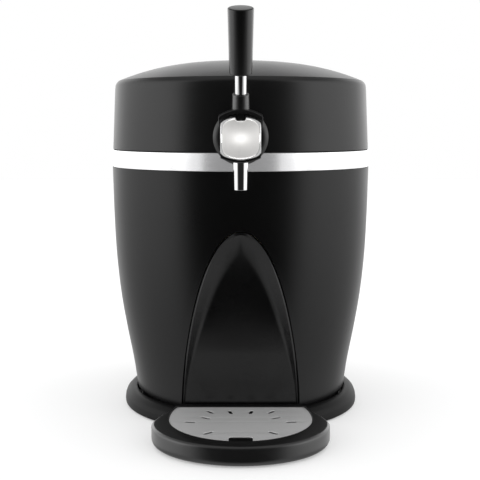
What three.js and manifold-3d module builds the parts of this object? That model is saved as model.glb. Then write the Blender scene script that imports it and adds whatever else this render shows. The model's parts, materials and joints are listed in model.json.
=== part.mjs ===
// Mini keg beer dispenser: a cooled barrel with a hinged lid, a lever tap and a drip tray.
// Millimetres, +Z up, front towards -Y. Pieces are drawn about the barrel's axis, and "reach"
// is a distance in front of that axis. The exported group is moved so that its box is centred.

import * as THREE from "three";
import { mergeVertices } from "three/addons/utils/BufferGeometryUtils.js";
import Module from "manifold-3d";

const wasm = await Module();
wasm.setup();

// Shared values
const seatGap = 0.3;
const cutOver = 6;
const mergeTolerance = 0.001;
const sliverTolerance = 0.02;
const bigSides = 48;
const middleSides = 24;
const smallSides = 12;

// Body shell: the barrel's outline as shares of its height and of its swell
const bodyBottom = 20;
const bodyHeight = 234;
const bodySwell = 23.5;
const bodyTopRadius = 135.5;
const bodyWall = 3;
const bodyFlangeWidth = 6;
const bodyFlangeThick = 2.5;
const bodySwellShares = [
  [0, 0],
  [0.12, 0.17],
  [0.27, 0.45],
  [0.42, 0.69],
  [0.6, 0.87],
  [0.8, 0.96],
  [1, 1],
];
const bodyProfileSteps = 8;

// Glass recess: an arch in the front of the barrel with a scooped panel in it
const nicheWidthShare = 0.526786;
const nicheHeightShare = 0.760684;
const nicheTaperPower = 1.5;
const nicheRoundPower = 0.46;
const nicheGap = 0.6;
const nicheLip = 0.8;
const nicheScoop = 12;
const nichePanelThick = 2.5;
const nicheColumns = 8;
const nicheRows = 11;
const nicheClear = 18;

// Base ring, pan and feet
const ringOverhang = 13.5;
const ringInnerGap = 1;
const ringTopGap = 2.2;
const ringProfileShares = [
  [0.03, 0],
  [0, 0.06],
  [0, 0.2],
  [0.03, 0.42],
  [0.11, 0.65],
  [0.29, 0.86],
  [0.5, 0.97],
  [0.64, 1],
  [0.765, 0.97],
  [0.81, 0.85],
  [0.83, 0.4],
];
const ringInnerShare = 0.3;
const ringLift = 1.2;
const panInset = 4.5;
const panWall = 3;
const panDockGap = 1.2;
const footHeight = 4;
const footRadius = 9;
const footPlaceShare = 0.75;

// Chrome band and chamber rim
const bandHeight = 17.4;
const bandWall = 1.7;
const bandProud = 0.1;
const rimSpigotHeight = 8;
const rimSpigotWall = 3;
const rimDeckThick = 3.5;
const rimThroatWall = 3;
const rimThroatHeight = 4;

// Keg chamber: liner and insulation
const linerInset = 7.2;
const linerWall = 1.2;
const linerFloorRise = 6;
const linerTopDrop = 8.2;
const linerFlange = 8;
const jacketGap = 0.5;
const dockRoom = 9.6;
const dockRoomRise = 4;

// Lid
const lidGap = 0.8;
const lidFootInset = 0.9;
const lidWallHeight = 60;
const lidWallLean = 2.8;
const lidShoulderInset = 5.9;
const lidShoulderRise = 11;
const lidDomeRise = 20.2;
const lidDomeShare = 0.62;
const lidThick = 2.8;
const lidLinerThick = 2.4;
const lidLinerDomeRise = 8;
const lidLinerDrop = 7;
const lidLinerInset = 5;
const lidFoamInset = 15;
const lidShoulderShare = 0.125;
const lidShoulderRows = 3;
const lidDomeRows = 6;
const lidInnerRows = 4;
const lidLinerRows = 2;
const lidFoamRows = 3;
const sealInset = 12.7;
const sealWidth = 6;
const sealHeight = 2.5;

// Lid hinge
const hingeStandOff = 5.4;
const hingeDrop = 0.5;
const hingeKnuckleRadius = 4.5;
const hingePinRadius = 2;
const hingeBoreGap = 0.3;
const hingeLidHalf = 13;
const hingeBracketHalf = 26;
const hingeSideGap = 0.7;
const hingePlateThick = 3.5;
const hingePlateDrop = 24;
const hingeWebDrop = 1;
const hingeLeafThick = 2.5;
const hingeLeafHeight = 24;

// Tap body
const pivotStandOff = 14.3;
const pivotRise = 0.7;
const neckRadius = 15.5;
const neckDeckGap = 1.3;
const neckLength = 32.2;
const neckNotchGap = 1.2;
const escutcheonRadius = 25.7;
const escutcheonDrop = 2.9;
const escutcheonGap = 0.6;
const escutcheonThick = 4;
const escutcheonShares = [
  [1, 0.2],
  [0.92, 0.5],
  [0.8, 0.75],
  [0.64, 0.93],
  [0.5, 1],
];
const drumRadius = 19.5;
const drumCrown = 4.5;
const drumShares = [-1, -0.7, -0.35, 0, 0.35, 0.7, 1];
const headHalfWidth = 18.2;
const headDrop = 27;
const headChin = 4.5;
const headFrontDepth = 9.5;

// Tap face plate
const faceHalfWidth = 18.4;
const faceRise = 15.8;
const faceDrop = 23.2;
const faceArch = 4.5;
const faceStandOff = 20.7;
const faceCrownUp = 9.2;
const faceCrownAcross = 5.2;
const faceThick = 2.2;
const faceNotchRadius = 5.6;
const faceNotchDepth = 3.4;
const faceColumns = 10;
const faceRows = 12;

// Spout
const spoutStandOff = 2.1;
const spoutTopRadius = 6.8;
const spoutTipRadius = 6.3;
const spoutBore = 4.4;
const spoutShow = 27.4;
const spoutSunk = 6;
const spoutEdgeShare = 0.1;

// Lever
const leverLean = THREE.MathUtils.degToRad(18.2);
const hoodHalfWidth = 20;
const hoodRadius = 23.5;
const hoodThick = 3;
const hoodCheek = 1.2;
const hoodCrown = 4.5;
const hoodSkirtRise = 6.5;
const hoodBack = 9.6;
const hoodFront = 7.2;
const bladeHalfWidth = 3;
const bladeHalfDepth = 3.6;
const bladeSlotGap = 1;
const bladeEye = 5.5;
const collarFootRadius = 8.4;
const collarTopRadius = 7.6;
const collarHeelShare = 0.75;
const collarLength = 15;
const collarBoreDepth = 11;
const stemRadius = 5.55;
const stemShow = 18.5;
const handleFootRadius = 10.3;
const handleTopRadius = 11.6;
const handleLength = 58.3;
const handleEdge = 1.2;
const handleBoreDepth = 24;

// Valve
const pivotPinRadius = 2.2;
const pinGap = 0.3;
const plungerDrop = 9.2;
const fingerRadius = 2.5;
const plungerPlay = 0.6;
const plungerRadius = 1.8;
const plungerCapRadius = 4.4;
const plungerCapThick = 2;
const plungerBore = 5.2;
const plungerInset = 10;
const plungerDiscThick = 2.5;
const valveWallGap = 17.5;
const valveWallThick = 13;
const springWire = 0.55;
const springRadius = 3.3;
const springTurns = 5;
const springTurnRows = 8;
const springSides = 5;
const plugRadius = 5.2;
const plugHead = 8;
const plugHeadThick = 3;
const plugLength = 2;

// Beer line
const barbInset = 6;
const barbRadius = 3;
const barbBore = 1.6;
const barbLength = 8;
const hoseRadius = 4.8;
const hoseBore = 3.6;
const hoseRest = 0.3;
const hoseSteps = 4;
const hoseRows = 16;
const hoseSides = 8;
const hoseInset = 2;
const hoseStart = THREE.MathUtils.degToRad(22);
const hoseEnd = THREE.MathUtils.degToRad(58);
const couplerAngle = THREE.MathUtils.degToRad(74);
const couplerRadius = 10.5;
const couplerHeight = 26;
const couplerNose = 6.5;
const couplerTopShare = 0.8;
const couplerEdge = 1.2;
const couplerPortRise = 13.8;
const dockWall = 2.2;
const dockHeight = 7;
const cradleHalfWidth = 12;
const cradleFrontInset = 17;
const cradleRearInset = 3;
const cradleHeight = 7;

// Drip tray and plate
const trayWidthShare = 0.669323;
const trayMiddleDepth = 53.4;
const trayFrontDepth = 70;
const trayBackGap = 2.4;
const trayBackShare = 0.761905;
const trayBendDepth = 42.4;
const trayTopGap = 0.5;
const trayEdge = 3.5;
const trayEdgeRows = 2;
const trayCurveRows = 14;
const trayLift = 0.5;
const trayFloor = 2.5;
const trayDockGap = 0.8;
const tongueHalfWidth = 6;
const tonguePlace = 26;
const tongueThick = 3;
const tongueHeight = 8;
const tongueLength = 7;
const plateSideInset = 15.5;
const plateMiddleDepth = 37.4;
const plateFrontInset = 17;
const plateBackInset = 2.4;
const plateBackSideInset = 0.5;
const plateBendDepth = 20.4;
const plateThick = 1.2;
const plateDrop = 1;
const plateGap = 0.5;
const plateLedge = 4;
const plateSlotWidth = 3;
const plateSlotLength = 11;
const plateSlotRows = 3;
const plateCentreDepth = 56.4;
const plateInnerRing = 39;
const plateOuterRing = 48.5;
const plateInnerAngles = [-30, 40, 140, 210, 255, 285];
const plateOuterAngles = [-8, 188, 232, 308];
const plateGripHalf = 11;
const plateGripDepth = 11.5;
const plateGripCorner = 3;
const plateGripInset = 8;

// Rear housing
const coverHalfWidth = 58;
const coverFootRise = 14;
const coverTopDrop = 16;
const coverStandOff = 14.5;
const coverWall = 2.5;
const coverCorner = 12;
const coverEdge = 4;
const coverEdgeRows = 2;
const coverCornerRows = 4;
const ventInset = 24;
const ventPitch = 8;
const ventHeight = 3.6;
const ventCount = 9;
const windowSideInset = 14;
const windowEndInset = 14;
const postRadius = 4.5;
const postSideInset = 8;
const postInset = 12;
const postRoot = 21;
const screwHead = 3.4;
const screwHeadThick = 1.8;
const screwShank = 1.3;
const screwLength = 9;
const screwGap = 0.3;

// Cooling stack
const sinkBoardGap = 2;
const blockHalf = 25;
const peltierHalf = 20;
const peltierThick = 4;
const sinkSideGap = 2;
const sinkTopGap = 26;
const sinkBase = 5;
const fanRearRoom = 5.1;
const finCount = 11;
const finThick = 1.6;
const fanTopInset = 8;
const fanSideInset = 2;
const fanDepth = 12;
const fanRim = 2.5;
const fanHubShare = 0.37333;
const fanTipGap = 1.5;
const fanBlades = 7;
const fanBladeThick = 1.6;
const fanStrut = 3;
const fanStrutCount = 3;
const fanStrutTurnShare = 0.25;
const fanPitch = THREE.MathUtils.degToRad(52);

// Power pieces in the rear housing
const powerRise = 26;
const powerPlaceShare = 0.48276;
const inletHalfWidth = 11;
const inletHalfHeight = 7.5;
const inletFlange = 3;
const inletFlangeThick = 2;
const inletDepth = 18;
const inletSocketHalfWidth = 8.5;
const inletSocketHalfHeight = 4.5;
const inletPinPlace = 4.3;
const inletPinRadius = 1.2;
const rockerHalfWidth = 6.2;
const rockerHalfHeight = 9.5;
const rockerGap = 0.7;
const rockerDepth = 12;
const rockerTilt = THREE.MathUtils.degToRad(7);
const rockerRise = 1.6;
const rockerSink = 2.5;
const rockerBellyShare = 0.8;
const rockerRows = 6;
const bezelWall = 1.2;
const bezelFlange = 2;
const bezelThick = 1.4;
const lampRadius = 3;
const lampRise = 1.2;
const lampTopShare = 0.7;
const boardSideInset = 8;
const boardHalfHeight = 14;
const boardThick = 1.6;
const boardInset = 28;
const boardRise = 26;
const boardPart = 12;
const canShares = [0.25, 0.5];
const canRadius = 4;
const canHeightShare = 0.8;
const boardPostRadius = 3;
const boardPostInset = 4;

// Barrel and chamber worked out from the values above
const bodyFootRadius = bodyTopRadius - bodySwell;
const bodyTop = bodyBottom + bodyHeight;
const flangeInner = bodyFootRadius - bodyWall - bodyFlangeWidth;
const nicheHalfWidth = bodyFootRadius * nicheWidthShare;
const nicheFootReach = Math.sqrt(bodyFootRadius ** 2 - nicheHalfWidth ** 2);
const nicheHeight = bodyHeight * nicheHeightShare;
const nicheApex = bodyBottom + nicheHeight;
const bandBottom = bodyTop + seatGap;
const bandTop = bandBottom + bandHeight;
const bandRadius = bodyTopRadius + bandProud;
const rimRadius = bandRadius - bandWall - seatGap;
const deckTop = bandTop;
const linerRadius = nicheFootReach - linerInset;
const linerOuter = linerRadius + linerWall;
const linerFloorHeight = bodyBottom + linerFloorRise;
const linerTopHeight = deckTop - linerTopDrop;
const jacketRadius = flangeInner - jacketGap;
const footTop = footHeight + seatGap;
const footPlace = bodyFootRadius * footPlaceShare;
const panRadius = bodyFootRadius - panInset;
const panTop = bodyBottom - seatGap;
const ringRadius = bodyFootRadius + ringOverhang;
const ringWidth = ringRadius - panRadius - ringInnerGap;
const ringHeight = bodyBottom - ringTopGap - ringLift;

// Lid and hinge
const lidBottom = bandTop + lidGap;
const lidFootRadius = bandRadius - lidFootInset;
const lidWallTopRadius = lidFootRadius - lidWallLean;
const lidShoulderRadius = lidWallTopRadius - lidShoulderInset;
const lidWallTop = lidBottom + lidWallHeight;
const lidShoulderTop = lidWallTop + lidShoulderRise;
const lidApex = lidShoulderTop + lidDomeRise;
const sealInner = lidFootRadius - sealInset;
const hingeReach = bandRadius + hingeStandOff;
const hingeHeight = bandTop + hingeDrop;

// Tap, valve and beer line
const neckHeight = bandTop + neckDeckGap + neckRadius;
const pivotHeight = neckHeight + pivotRise;
const escutcheonHeight = pivotHeight - escutcheonDrop;
const escutcheonBack = bandRadius + escutcheonGap;
const pivotReach = escutcheonBack + pivotStandOff;
const neckRear = escutcheonBack - neckLength;
const headFront = pivotReach + headFrontDepth;
const faceReach = pivotReach + faceStandOff;
const faceTop = pivotHeight + faceRise;
const faceBottom = pivotHeight - faceDrop;
const spoutReach = pivotReach + spoutStandOff;
const spoutTip = faceBottom - spoutShow;
const spoutRoot = faceBottom + spoutSunk;
const valveHeight = pivotHeight - plungerDrop;
const plungerRear = neckRear + plungerInset;
const valveWallFront = pivotReach - valveWallGap;
const valveWallRear = valveWallFront - valveWallThick;
const barbReach = neckRear + barbInset;
const hoseArcRadius = barbReach - hoseInset;
const cradleFront = neckRear + cradleFrontInset;
const cradleRear = neckRear + cradleRearInset;
const couplerPortHeight = deckTop + couplerPortRise;

// Tray and plate
const trayTop = bodyBottom - trayTopGap;
const trayHalfWidth = ringRadius * trayWidthShare;
const trayBack = nicheFootReach + trayBackGap;
const trayBackHalf = trayHalfWidth * trayBackShare;
const trayMiddle = trayBack + trayMiddleDepth;
const trayBend = trayBack + trayBendDepth;
const frontReach = trayMiddle + trayFrontDepth;
const panDockReach = trayBack - panDockGap;
const dockRoomReach = trayBack - dockRoom;
const dockRoomHeight = bodyBottom + dockRoomRise;
const plateHalfWidth = trayHalfWidth - plateSideInset;
const plateBack = trayBack + plateBackInset;
const plateBackHalf = trayBackHalf - plateBackSideInset;
const plateMiddle = trayBack + plateMiddleDepth;
const plateBend = trayBack + plateBendDepth;
const plateFront = frontReach - plateFrontInset;
const plateCentre = trayBack + plateCentreDepth;
const plateGripReach = plateFront - plateGripInset;

// Rear housing and what is in it
const coverBottom = bodyBottom + coverFootRise;
const coverTop = bodyTop - coverTopDrop;
const coverReach = bodyTopRadius + coverStandOff;
const coverInner = coverReach - coverWall;
const ventHalfWidth = coverHalfWidth - ventInset;
const windowHalfWidth = coverHalfWidth - windowSideInset;
const windowBottom = coverBottom + windowEndInset;
const windowTop = coverTop - windowEndInset;
const postPlaceX = coverHalfWidth - postSideInset;
const powerHeight = coverBottom + powerRise;
const rockerPlace = coverHalfWidth * powerPlaceShare;
const inletPlace = -rockerPlace;
const boardHalfWidth = windowHalfWidth - boardSideInset;
const boardHeight = powerHeight + boardRise;
const boardReach = coverReach - boardInset;
const sinkLow = boardHeight + boardHalfHeight + sinkBoardGap;
const sinkHigh = windowTop - sinkTopGap;
const sinkHalfHeight = (sinkHigh - sinkLow) / 2;
const sinkHalfWidth = windowHalfWidth - sinkSideGap;
const coolHeight = (sinkHigh + sinkLow) / 2;
const peltierRear = jacketRadius + seatGap;
const peltierFront = peltierRear - peltierThick;
const blockRear = peltierFront - seatGap;
const sinkFront = peltierRear + seatGap;
const fanFront = coverInner - fanRearRoom - fanDepth;
const sinkRear = fanFront - seatGap;
const fanHalf = Math.min(sinkHalfHeight - fanTopInset, sinkHalfWidth - fanSideInset);
const fanBore = fanHalf - fanRim;
const fanHub = fanBore * fanHubShare;
const rearReach = coverReach + seatGap + inletFlangeThick;

// A closed geometry as a manifold solid, without the collapsed triangles of poles and points
function solid(geometry) {
  const bare = geometry.clone();
  bare.deleteAttribute("normal");
  bare.deleteAttribute("uv");
  const merged = mergeVertices(bare, mergeTolerance);
  const corners = merged.index.array;
  const triangles = [];
  for (let i = 0; i < corners.length; i += 3) {
    const [a, b, c] = corners.slice(i, i + 3);
    if (a !== b && b !== c && c !== a) triangles.push(a, b, c);
  }
  const vertProperties = merged.attributes.position.array;
  const triVerts = new Uint32Array(triangles);
  return new wasm.Manifold(new wasm.Mesh({ numProp: 3, vertProperties, triVerts }));
}

function geometryOf(manifold) {
  const mesh = manifold.simplify(sliverTolerance).getMesh();
  const geometry = new THREE.BufferGeometry();
  geometry.setAttribute("position", new THREE.BufferAttribute(mesh.vertProperties, 3));
  geometry.setIndex(new THREE.BufferAttribute(mesh.triVerts, 1));
  geometry.computeVertexNormals();
  return geometry;
}

function join(first, ...others) {
  return geometryOf(others.reduce((sum, other) => sum.add(solid(other)), solid(first)));
}

function cut(first, ...tools) {
  return geometryOf(tools.reduce((rest, tool) => rest.subtract(solid(tool)), solid(first)));
}

function common(first, second) {
  return geometryOf(solid(first).intersect(solid(second)));
}

// A box from its spans along X, Y and Z
function block(spanX, spanY, spanZ) {
  const spans = [spanX, spanY, spanZ];
  const sizes = spans.map(([low, high]) => high - low);
  const middles = spans.map(([low, high]) => (low + high) / 2);
  return new THREE.BoxGeometry(...sizes).translate(...middles);
}

// Profiles hold [radius, place along the axis], and run round anticlockwise in that plane
function lathe(profile, sides) {
  const points = profile.map(([radius, along]) => new THREE.Vector2(radius, along));
  return new THREE.LatheGeometry(points, sides);
}

function latheUp(profile, sides) {
  return lathe([...profile, profile[0]], sides).rotateX(Math.PI / 2);
}

function latheRear(profile, sides) {
  return lathe([...profile, profile[0]], sides);
}

// The axis points to the front, and places are reaches
function latheFront(profile, sides) {
  return lathe([...profile, profile[0]], sides).rotateX(Math.PI);
}

function latheAcross(profile, sides) {
  return lathe([...profile, profile[0]], sides).rotateZ(-Math.PI / 2);
}

function diskUp(radius, low, high, sides) {
  return latheUp([[0, low], [radius, low], [radius, high], [0, high]], sides);
}

function diskFront(radius, rear, front, sides) {
  return latheFront([[0, rear], [radius, rear], [radius, front], [0, front]], sides);
}

function diskRear(radius, low, high, sides) {
  return latheRear([[0, low], [radius, low], [radius, high], [0, high]], sides);
}

function diskAcross(radius, left, right, sides) {
  return latheAcross([[0, left], [radius, left], [radius, right], [0, right]], sides);
}

function tubeUp(inner, outer, low, high, sides) {
  return latheUp([[inner, low], [outer, low], [outer, high], [inner, high]], sides);
}

// A shape in the plan, drawn with reach as its second value, between two heights
function planPlate(shape, low, high) {
  const geometry = new THREE.ExtrudeGeometry(shape, { depth: high - low, bevelEnabled: false });
  return geometry.translate(0, 0, low);
}

// A shape in the front view, between two places along Y
function frontPlate(shape, low, high) {
  const geometry = new THREE.ExtrudeGeometry(shape, { depth: high - low, bevelEnabled: false });
  return geometry.rotateX(Math.PI / 2).translate(0, high, 0);
}

// A closed body between a face and a back, each a function of two values from 0 to 1
function gridSolid(face, back, columns, rows) {
  const positions = [];
  for (const side of [face, back]) {
    for (let row = 0; row <= rows; row++) {
      for (let column = 0; column <= columns; column++) {
        positions.push(...side(column / columns, row / rows));
      }
    }
  }
  const width = columns + 1;
  const count = width * (rows + 1);
  const index = [];
  const quad = (a, b, c, d) => index.push(a, b, c, a, c, d);
  for (let row = 0; row < rows; row++) {
    for (let column = 0; column < columns; column++) {
      const a = row * width + column;
      const d = a + width;
      quad(a, a + 1, d + 1, d);
      quad(count + a, count + d, count + d + 1, count + a + 1);
    }
    const left = row * width;
    const right = left + columns;
    quad(left, left + width, count + left + width, count + left);
    quad(right + width, right, count + right, count + right + width);
  }
  for (let column = 0; column < columns; column++) {
    const top = rows * width + column;
    quad(column + 1, column, count + column, count + column + 1);
    quad(top, top + 1, count + top + 1, count + top);
  }
  const geometry = new THREE.BufferGeometry();
  geometry.setAttribute("position", new THREE.Float32BufferAttribute(positions, 3));
  geometry.setIndex(index);
  return geometry;
}

function roundedRectangle(halfWidth, low, high, corner) {
  const shape = new THREE.Shape();
  shape.moveTo(-halfWidth + corner, low);
  shape.lineTo(halfWidth - corner, low);
  shape.absarc(halfWidth - corner, low + corner, corner, -Math.PI / 2, 0);
  shape.lineTo(halfWidth, high - corner);
  shape.absarc(halfWidth - corner, high - corner, corner, 0, Math.PI / 2);
  shape.lineTo(-halfWidth + corner, high);
  shape.absarc(-halfWidth + corner, high - corner, corner, Math.PI / 2, Math.PI);
  shape.lineTo(-halfWidth, low + corner);
  shape.absarc(-halfWidth + corner, low + corner, corner, Math.PI, Math.PI * 1.5);
  return shape;
}

// The barrel's outline from foot to top, and its radius at a height
const bodyCurve = new THREE.SplineCurve(
  bodySwellShares.map(([rise, swell]) => new THREE.Vector2(
    bodyFootRadius + (bodyTopRadius - bodyFootRadius) * swell,
    bodyBottom + bodyHeight * rise,
  )),
);
const bodyOutline = bodyCurve.getPoints(bodyProfileSteps).map((point) => [point.x, point.y]);

function bodyRadius(height) {
  const upper = bodyOutline.findIndex(([, level]) => level >= height);
  if (upper <= 0) return upper < 0 ? bodyTopRadius : bodyFootRadius;
  const [lowRadius, lowLevel] = bodyOutline[upper - 1];
  const [highRadius, highLevel] = bodyOutline[upper];
  const share = (height - lowLevel) / (highLevel - lowLevel);
  return lowRadius + (highRadius - lowRadius) * share;
}

function barrelFilled(growth) {
  const wall = bodyOutline.map(([radius, level]) => [radius + growth, level]);
  const low = [wall[0][0], bodyBottom - cutOver];
  const high = [wall[wall.length - 1][0], bodyTop + cutOver];
  return latheUp([[0, low[1]], low, ...wall, high, [0, high[1]]], bigSides);
}

// The recess's half width at a height: full at the foot, rounded off at the apex
function nicheHalf(height) {
  const share = THREE.MathUtils.clamp((height - bodyBottom) / nicheHeight, 0, 1);
  return nicheHalfWidth * (1 - share ** nicheTaperPower) ** nicheRoundPower;
}

function nicheLevel(share) {
  return bodyBottom + nicheHeight * Math.sin(share * Math.PI / 2);
}

function nicheOutline() {
  const right = [];
  for (let row = 0; row <= nicheRows; row++) {
    const level = nicheLevel(row / nicheRows);
    right.push(new THREE.Vector2(nicheHalf(level), level));
  }
  const left = right.slice(0, -1).reverse().map((point) => new THREE.Vector2(-point.x, point.y));
  const low = bodyBottom - cutOver;
  const corners = [new THREE.Vector2(-nicheHalfWidth, low), new THREE.Vector2(nicheHalfWidth, low)];
  return new THREE.Shape([...corners, ...right, ...left]);
}

// A point of the scooped panel, set back from its face by a depth
function nichePoint(across, share, depth, low) {
  const level = THREE.MathUtils.lerp(low, nicheApex - nicheGap, Math.sin(share * Math.PI / 2));
  const half = Math.max(nicheHalf(level + nicheGap) - nicheGap, 0);
  const side = across * 2 - 1;
  const edge = Math.sqrt(bodyRadius(level) ** 2 - half ** 2) - nicheLip;
  const rise = (level - bodyBottom) / (nicheHeight - nicheGap);
  const scoop = nicheScoop * 4 * Math.max(rise * (1 - rise), 0) * (1 - side * side);
  return [side * half, -(edge - scoop - depth), level];
}

function nicheBody(frontDepth, backDepth, low) {
  const face = (across, share) => nichePoint(across, share, frontDepth, low);
  const back = (across, share) => nichePoint(across, share, backDepth, low);
  return gridSolid(face, back, nicheColumns, nicheRows);
}

function bodyShell() {
  const inner = bodyOutline
    .filter((_, i) => i > 0 && i % 2 === 0)
    .map(([radius, level]) => [radius - bodyWall, level])
    .reverse();
  const flangeTop = bodyBottom + bodyFlangeThick;
  const profile = [
    [flangeInner, bodyBottom],
    ...bodyOutline,
    ...inner,
    [bodyRadius(flangeTop) - bodyWall, flangeTop],
    [flangeInner, flangeTop],
  ];
  const arch = frontPlate(nicheOutline(), -bodyTopRadius - cutOver, -dockRoomReach + cutOver);
  const window = block(
    [-windowHalfWidth, windowHalfWidth],
    [dockRoomReach, bodyTopRadius + cutOver],
    [windowBottom, windowTop],
  );
  return cut(latheUp(profile, bigSides), arch, window);
}

// A standoff from the barrel's wall back to the rear cover, with a blind hole for its screw
function coverPost(x, z) {
  const rear = coverInner - seatGap;
  const post = diskRear(postRadius, bodyFootRadius - postRoot, rear, smallSides);
  const hole = diskRear(screwShank + screwGap, rear - screwLength, rear + cutOver, smallSides);
  return cut(cut(post, hole).translate(x, 0, z), barrelFilled(seatGap));
}

function screwPlaces() {
  const places = [];
  for (const x of [-postPlaceX, postPlaceX]) {
    for (const z of [coverBottom + postInset, coverTop - postInset]) places.push([x, z]);
  }
  return places;
}

function recessPanel() {
  return nicheBody(0, nichePanelThick, bodyBottom + seatGap);
}

function chromeBand() {
  return tubeUp(bandRadius - bandWall, bandRadius, bandBottom, bandTop, bigSides);
}

function chamberRim() {
  const spigot = bodyTopRadius - bodyWall - seatGap;
  const throat = linerRadius + linerWall + seatGap;
  const deckLow = deckTop - rimDeckThick;
  return latheUp([
    [spigot - rimSpigotWall, bodyTop - rimSpigotHeight],
    [spigot, bodyTop - rimSpigotHeight],
    [spigot, bandBottom],
    [rimRadius, bandBottom],
    [rimRadius, deckTop],
    [throat, deckTop],
    [throat, deckLow - rimThroatHeight],
    [throat + rimThroatWall, deckLow - rimThroatHeight],
    [throat + rimThroatWall, deckLow],
    [spigot - rimSpigotWall, deckLow],
  ], bigSides);
}

function chamberLiner() {
  const low = linerFloorHeight;
  const top = linerTopHeight;
  return latheUp([
    [0, low],
    [linerOuter, low],
    [linerOuter, top - linerWall],
    [linerOuter + linerFlange, top - linerWall],
    [linerOuter + linerFlange, top],
    [linerRadius, top],
    [linerRadius, low + linerWall],
    [0, low + linerWall],
  ], bigSides);
}

function insulationJacket() {
  const low = footTop + panWall + seatGap;
  const floor = linerFloorHeight - seatGap;
  const top = linerTopHeight - linerWall - seatGap;
  const inner = linerOuter + jacketGap;
  const ring = latheUp([
    [0, low], [jacketRadius, low], [jacketRadius, top], [inner, top], [inner, floor], [0, floor],
  ], bigSides);
  const tongueRoom = block(
    [-jacketRadius, jacketRadius],
    [-jacketRadius - cutOver, -dockRoomReach],
    [0, dockRoomHeight],
  );
  const panelRoom = nicheBody(-nicheClear, nichePanelThick + seatGap, bodyBottom);
  const blockRoom = block(
    [-blockHalf - jacketGap, blockHalf + jacketGap],
    [linerRadius - cutOver, jacketRadius + cutOver],
    [coolHeight - blockHalf - jacketGap, coolHeight + blockHalf + jacketGap],
  );
  return cut(ring, tongueRoom, panelRoom, blockRoom);
}

function lidSeal() {
  const low = deckTop + seatGap;
  const ring = tubeUp(sealInner, sealInner + sealWidth, low, low + sealHeight, bigSides);
  return cut(ring, neckNotch(neckNotchGap));
}

function baseRing() {
  const inner = ringRadius - ringWidth;
  const skin = ringProfileShares.map(
    ([inset, rise]) => [ringRadius - inset * ringWidth, ringLift + rise * ringHeight],
  );
  const ring = latheUp([
    [inner, ringLift],
    ...skin,
    [inner, ringLift + ringInnerShare * ringHeight],
  ], bigSides);
  return cut(ring, planPlate(trayShape(-trayDockGap), -cutOver, trayTop + cutOver));
}

function basePan() {
  const low = footTop;
  const disk = diskUp(panRadius, low, panTop, bigSides);
  const hollow = diskUp(panRadius - panWall, low + panWall, panTop + cutOver, bigSides);
  const behind = (reach) => block(
    [-panRadius - cutOver, panRadius + cutOver],
    [-reach, panRadius + cutOver],
    [-cutOver, panTop + cutOver],
  );
  const outer = common(disk, behind(panDockReach));
  const inner = common(hollow, behind(panDockReach - panWall));
  const slots = [-tonguePlace, tonguePlace].map((x) => block(
    [x - tongueHalfWidth - trayDockGap, x + tongueHalfWidth + trayDockGap],
    [-panDockReach - cutOver, -panDockReach + panWall + cutOver],
    [trayLift + tongueHeight - trayDockGap, trayLift + tongueHeight + tongueThick + trayDockGap],
  ));
  return cut(outer, inner, ...slots);
}

function foot() {
  return diskUp(footRadius, 0, footHeight, smallSides);
}

// The lid's outer line from its shoulder over the dome to the apex
function lidDome(radius, low, apex, steps) {
  const curve = new THREE.QuadraticBezierCurve(
    new THREE.Vector2(radius, low),
    new THREE.Vector2(radius * lidDomeShare, apex),
    new THREE.Vector2(0, apex),
  );
  return curve.getPoints(steps).map((point) => [point.x, point.y]);
}

function lidShoulder(outerRadius, low, innerRadius, high) {
  const curve = new THREE.QuadraticBezierCurve(
    new THREE.Vector2(outerRadius, low),
    new THREE.Vector2(
      THREE.MathUtils.lerp(outerRadius, innerRadius, lidShoulderShare),
      THREE.MathUtils.lerp(high, low, lidShoulderShare),
    ),
    new THREE.Vector2(innerRadius, high),
  );
  return curve.getPoints(lidShoulderRows).slice(0, -1).map((point) => [point.x, point.y]);
}

// The notch that lets the lid lift off the tap's neck
function neckNotch(gap) {
  const radius = neckRadius + gap;
  const shape = new THREE.Shape();
  shape.moveTo(radius, deckTop - cutOver);
  shape.lineTo(radius, neckHeight);
  shape.absarc(0, neckHeight, radius, 0, Math.PI);
  shape.lineTo(-radius, deckTop - cutOver);
  return frontPlate(shape, -lidFootRadius - cutOver, -sealInner + cutOver * 2);
}

function lidShell() {
  const outer = [
    [lidFootRadius, lidBottom],
    ...lidShoulder(lidWallTopRadius, lidWallTop, lidShoulderRadius, lidShoulderTop),
    ...lidDome(lidShoulderRadius, lidShoulderTop, lidApex, lidDomeRows),
  ];
  const inner = [
    ...lidDome(
      lidShoulderRadius - lidThick, lidShoulderTop - lidThick, lidApex - lidThick, lidInnerRows,
    ).reverse(),
    [lidWallTopRadius - lidThick, lidWallTop],
    [lidFootRadius - lidThick, lidBottom],
  ];
  return cut(latheUp([...outer, ...inner], bigSides), neckNotch(neckNotchGap));
}

// The lid's wall filled up to its outside, grown by a gap
function lidFilled(growth) {
  return latheUp([
    [0, lidBottom - cutOver],
    [lidFootRadius + growth, lidBottom - cutOver],
    [lidFootRadius + growth, lidBottom],
    [lidWallTopRadius + growth, lidWallTop],
    [0, lidWallTop],
  ], bigSides);
}

function hingeLeaf() {
  const knuckle = diskAcross(hingeKnuckleRadius, -hingeLidHalf, hingeLidHalf, middleSides);
  knuckle.translate(0, hingeReach, hingeHeight);
  const low = lidBottom + seatGap;
  const root = lidWallTopRadius - lidThick;
  const span = [-hingeLidHalf, hingeLidHalf];
  const arm = block(span, [root, hingeReach], [low, hingeHeight + hingeKnuckleRadius]);
  const plate = block(span, [root, lidFootRadius + hingeLeafThick], [low, low + hingeLeafHeight]);
  const seat = lidFilled(seatGap);
  return cut(join(cut(join(arm, plate), seat), cut(knuckle, seat)), hingeBore(hingeLidHalf + cutOver));
}

function hingeBore(half) {
  const bore = diskAcross(hingePinRadius + hingeBoreGap, -half, half, smallSides);
  return bore.translate(0, hingeReach, hingeHeight);
}

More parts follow.
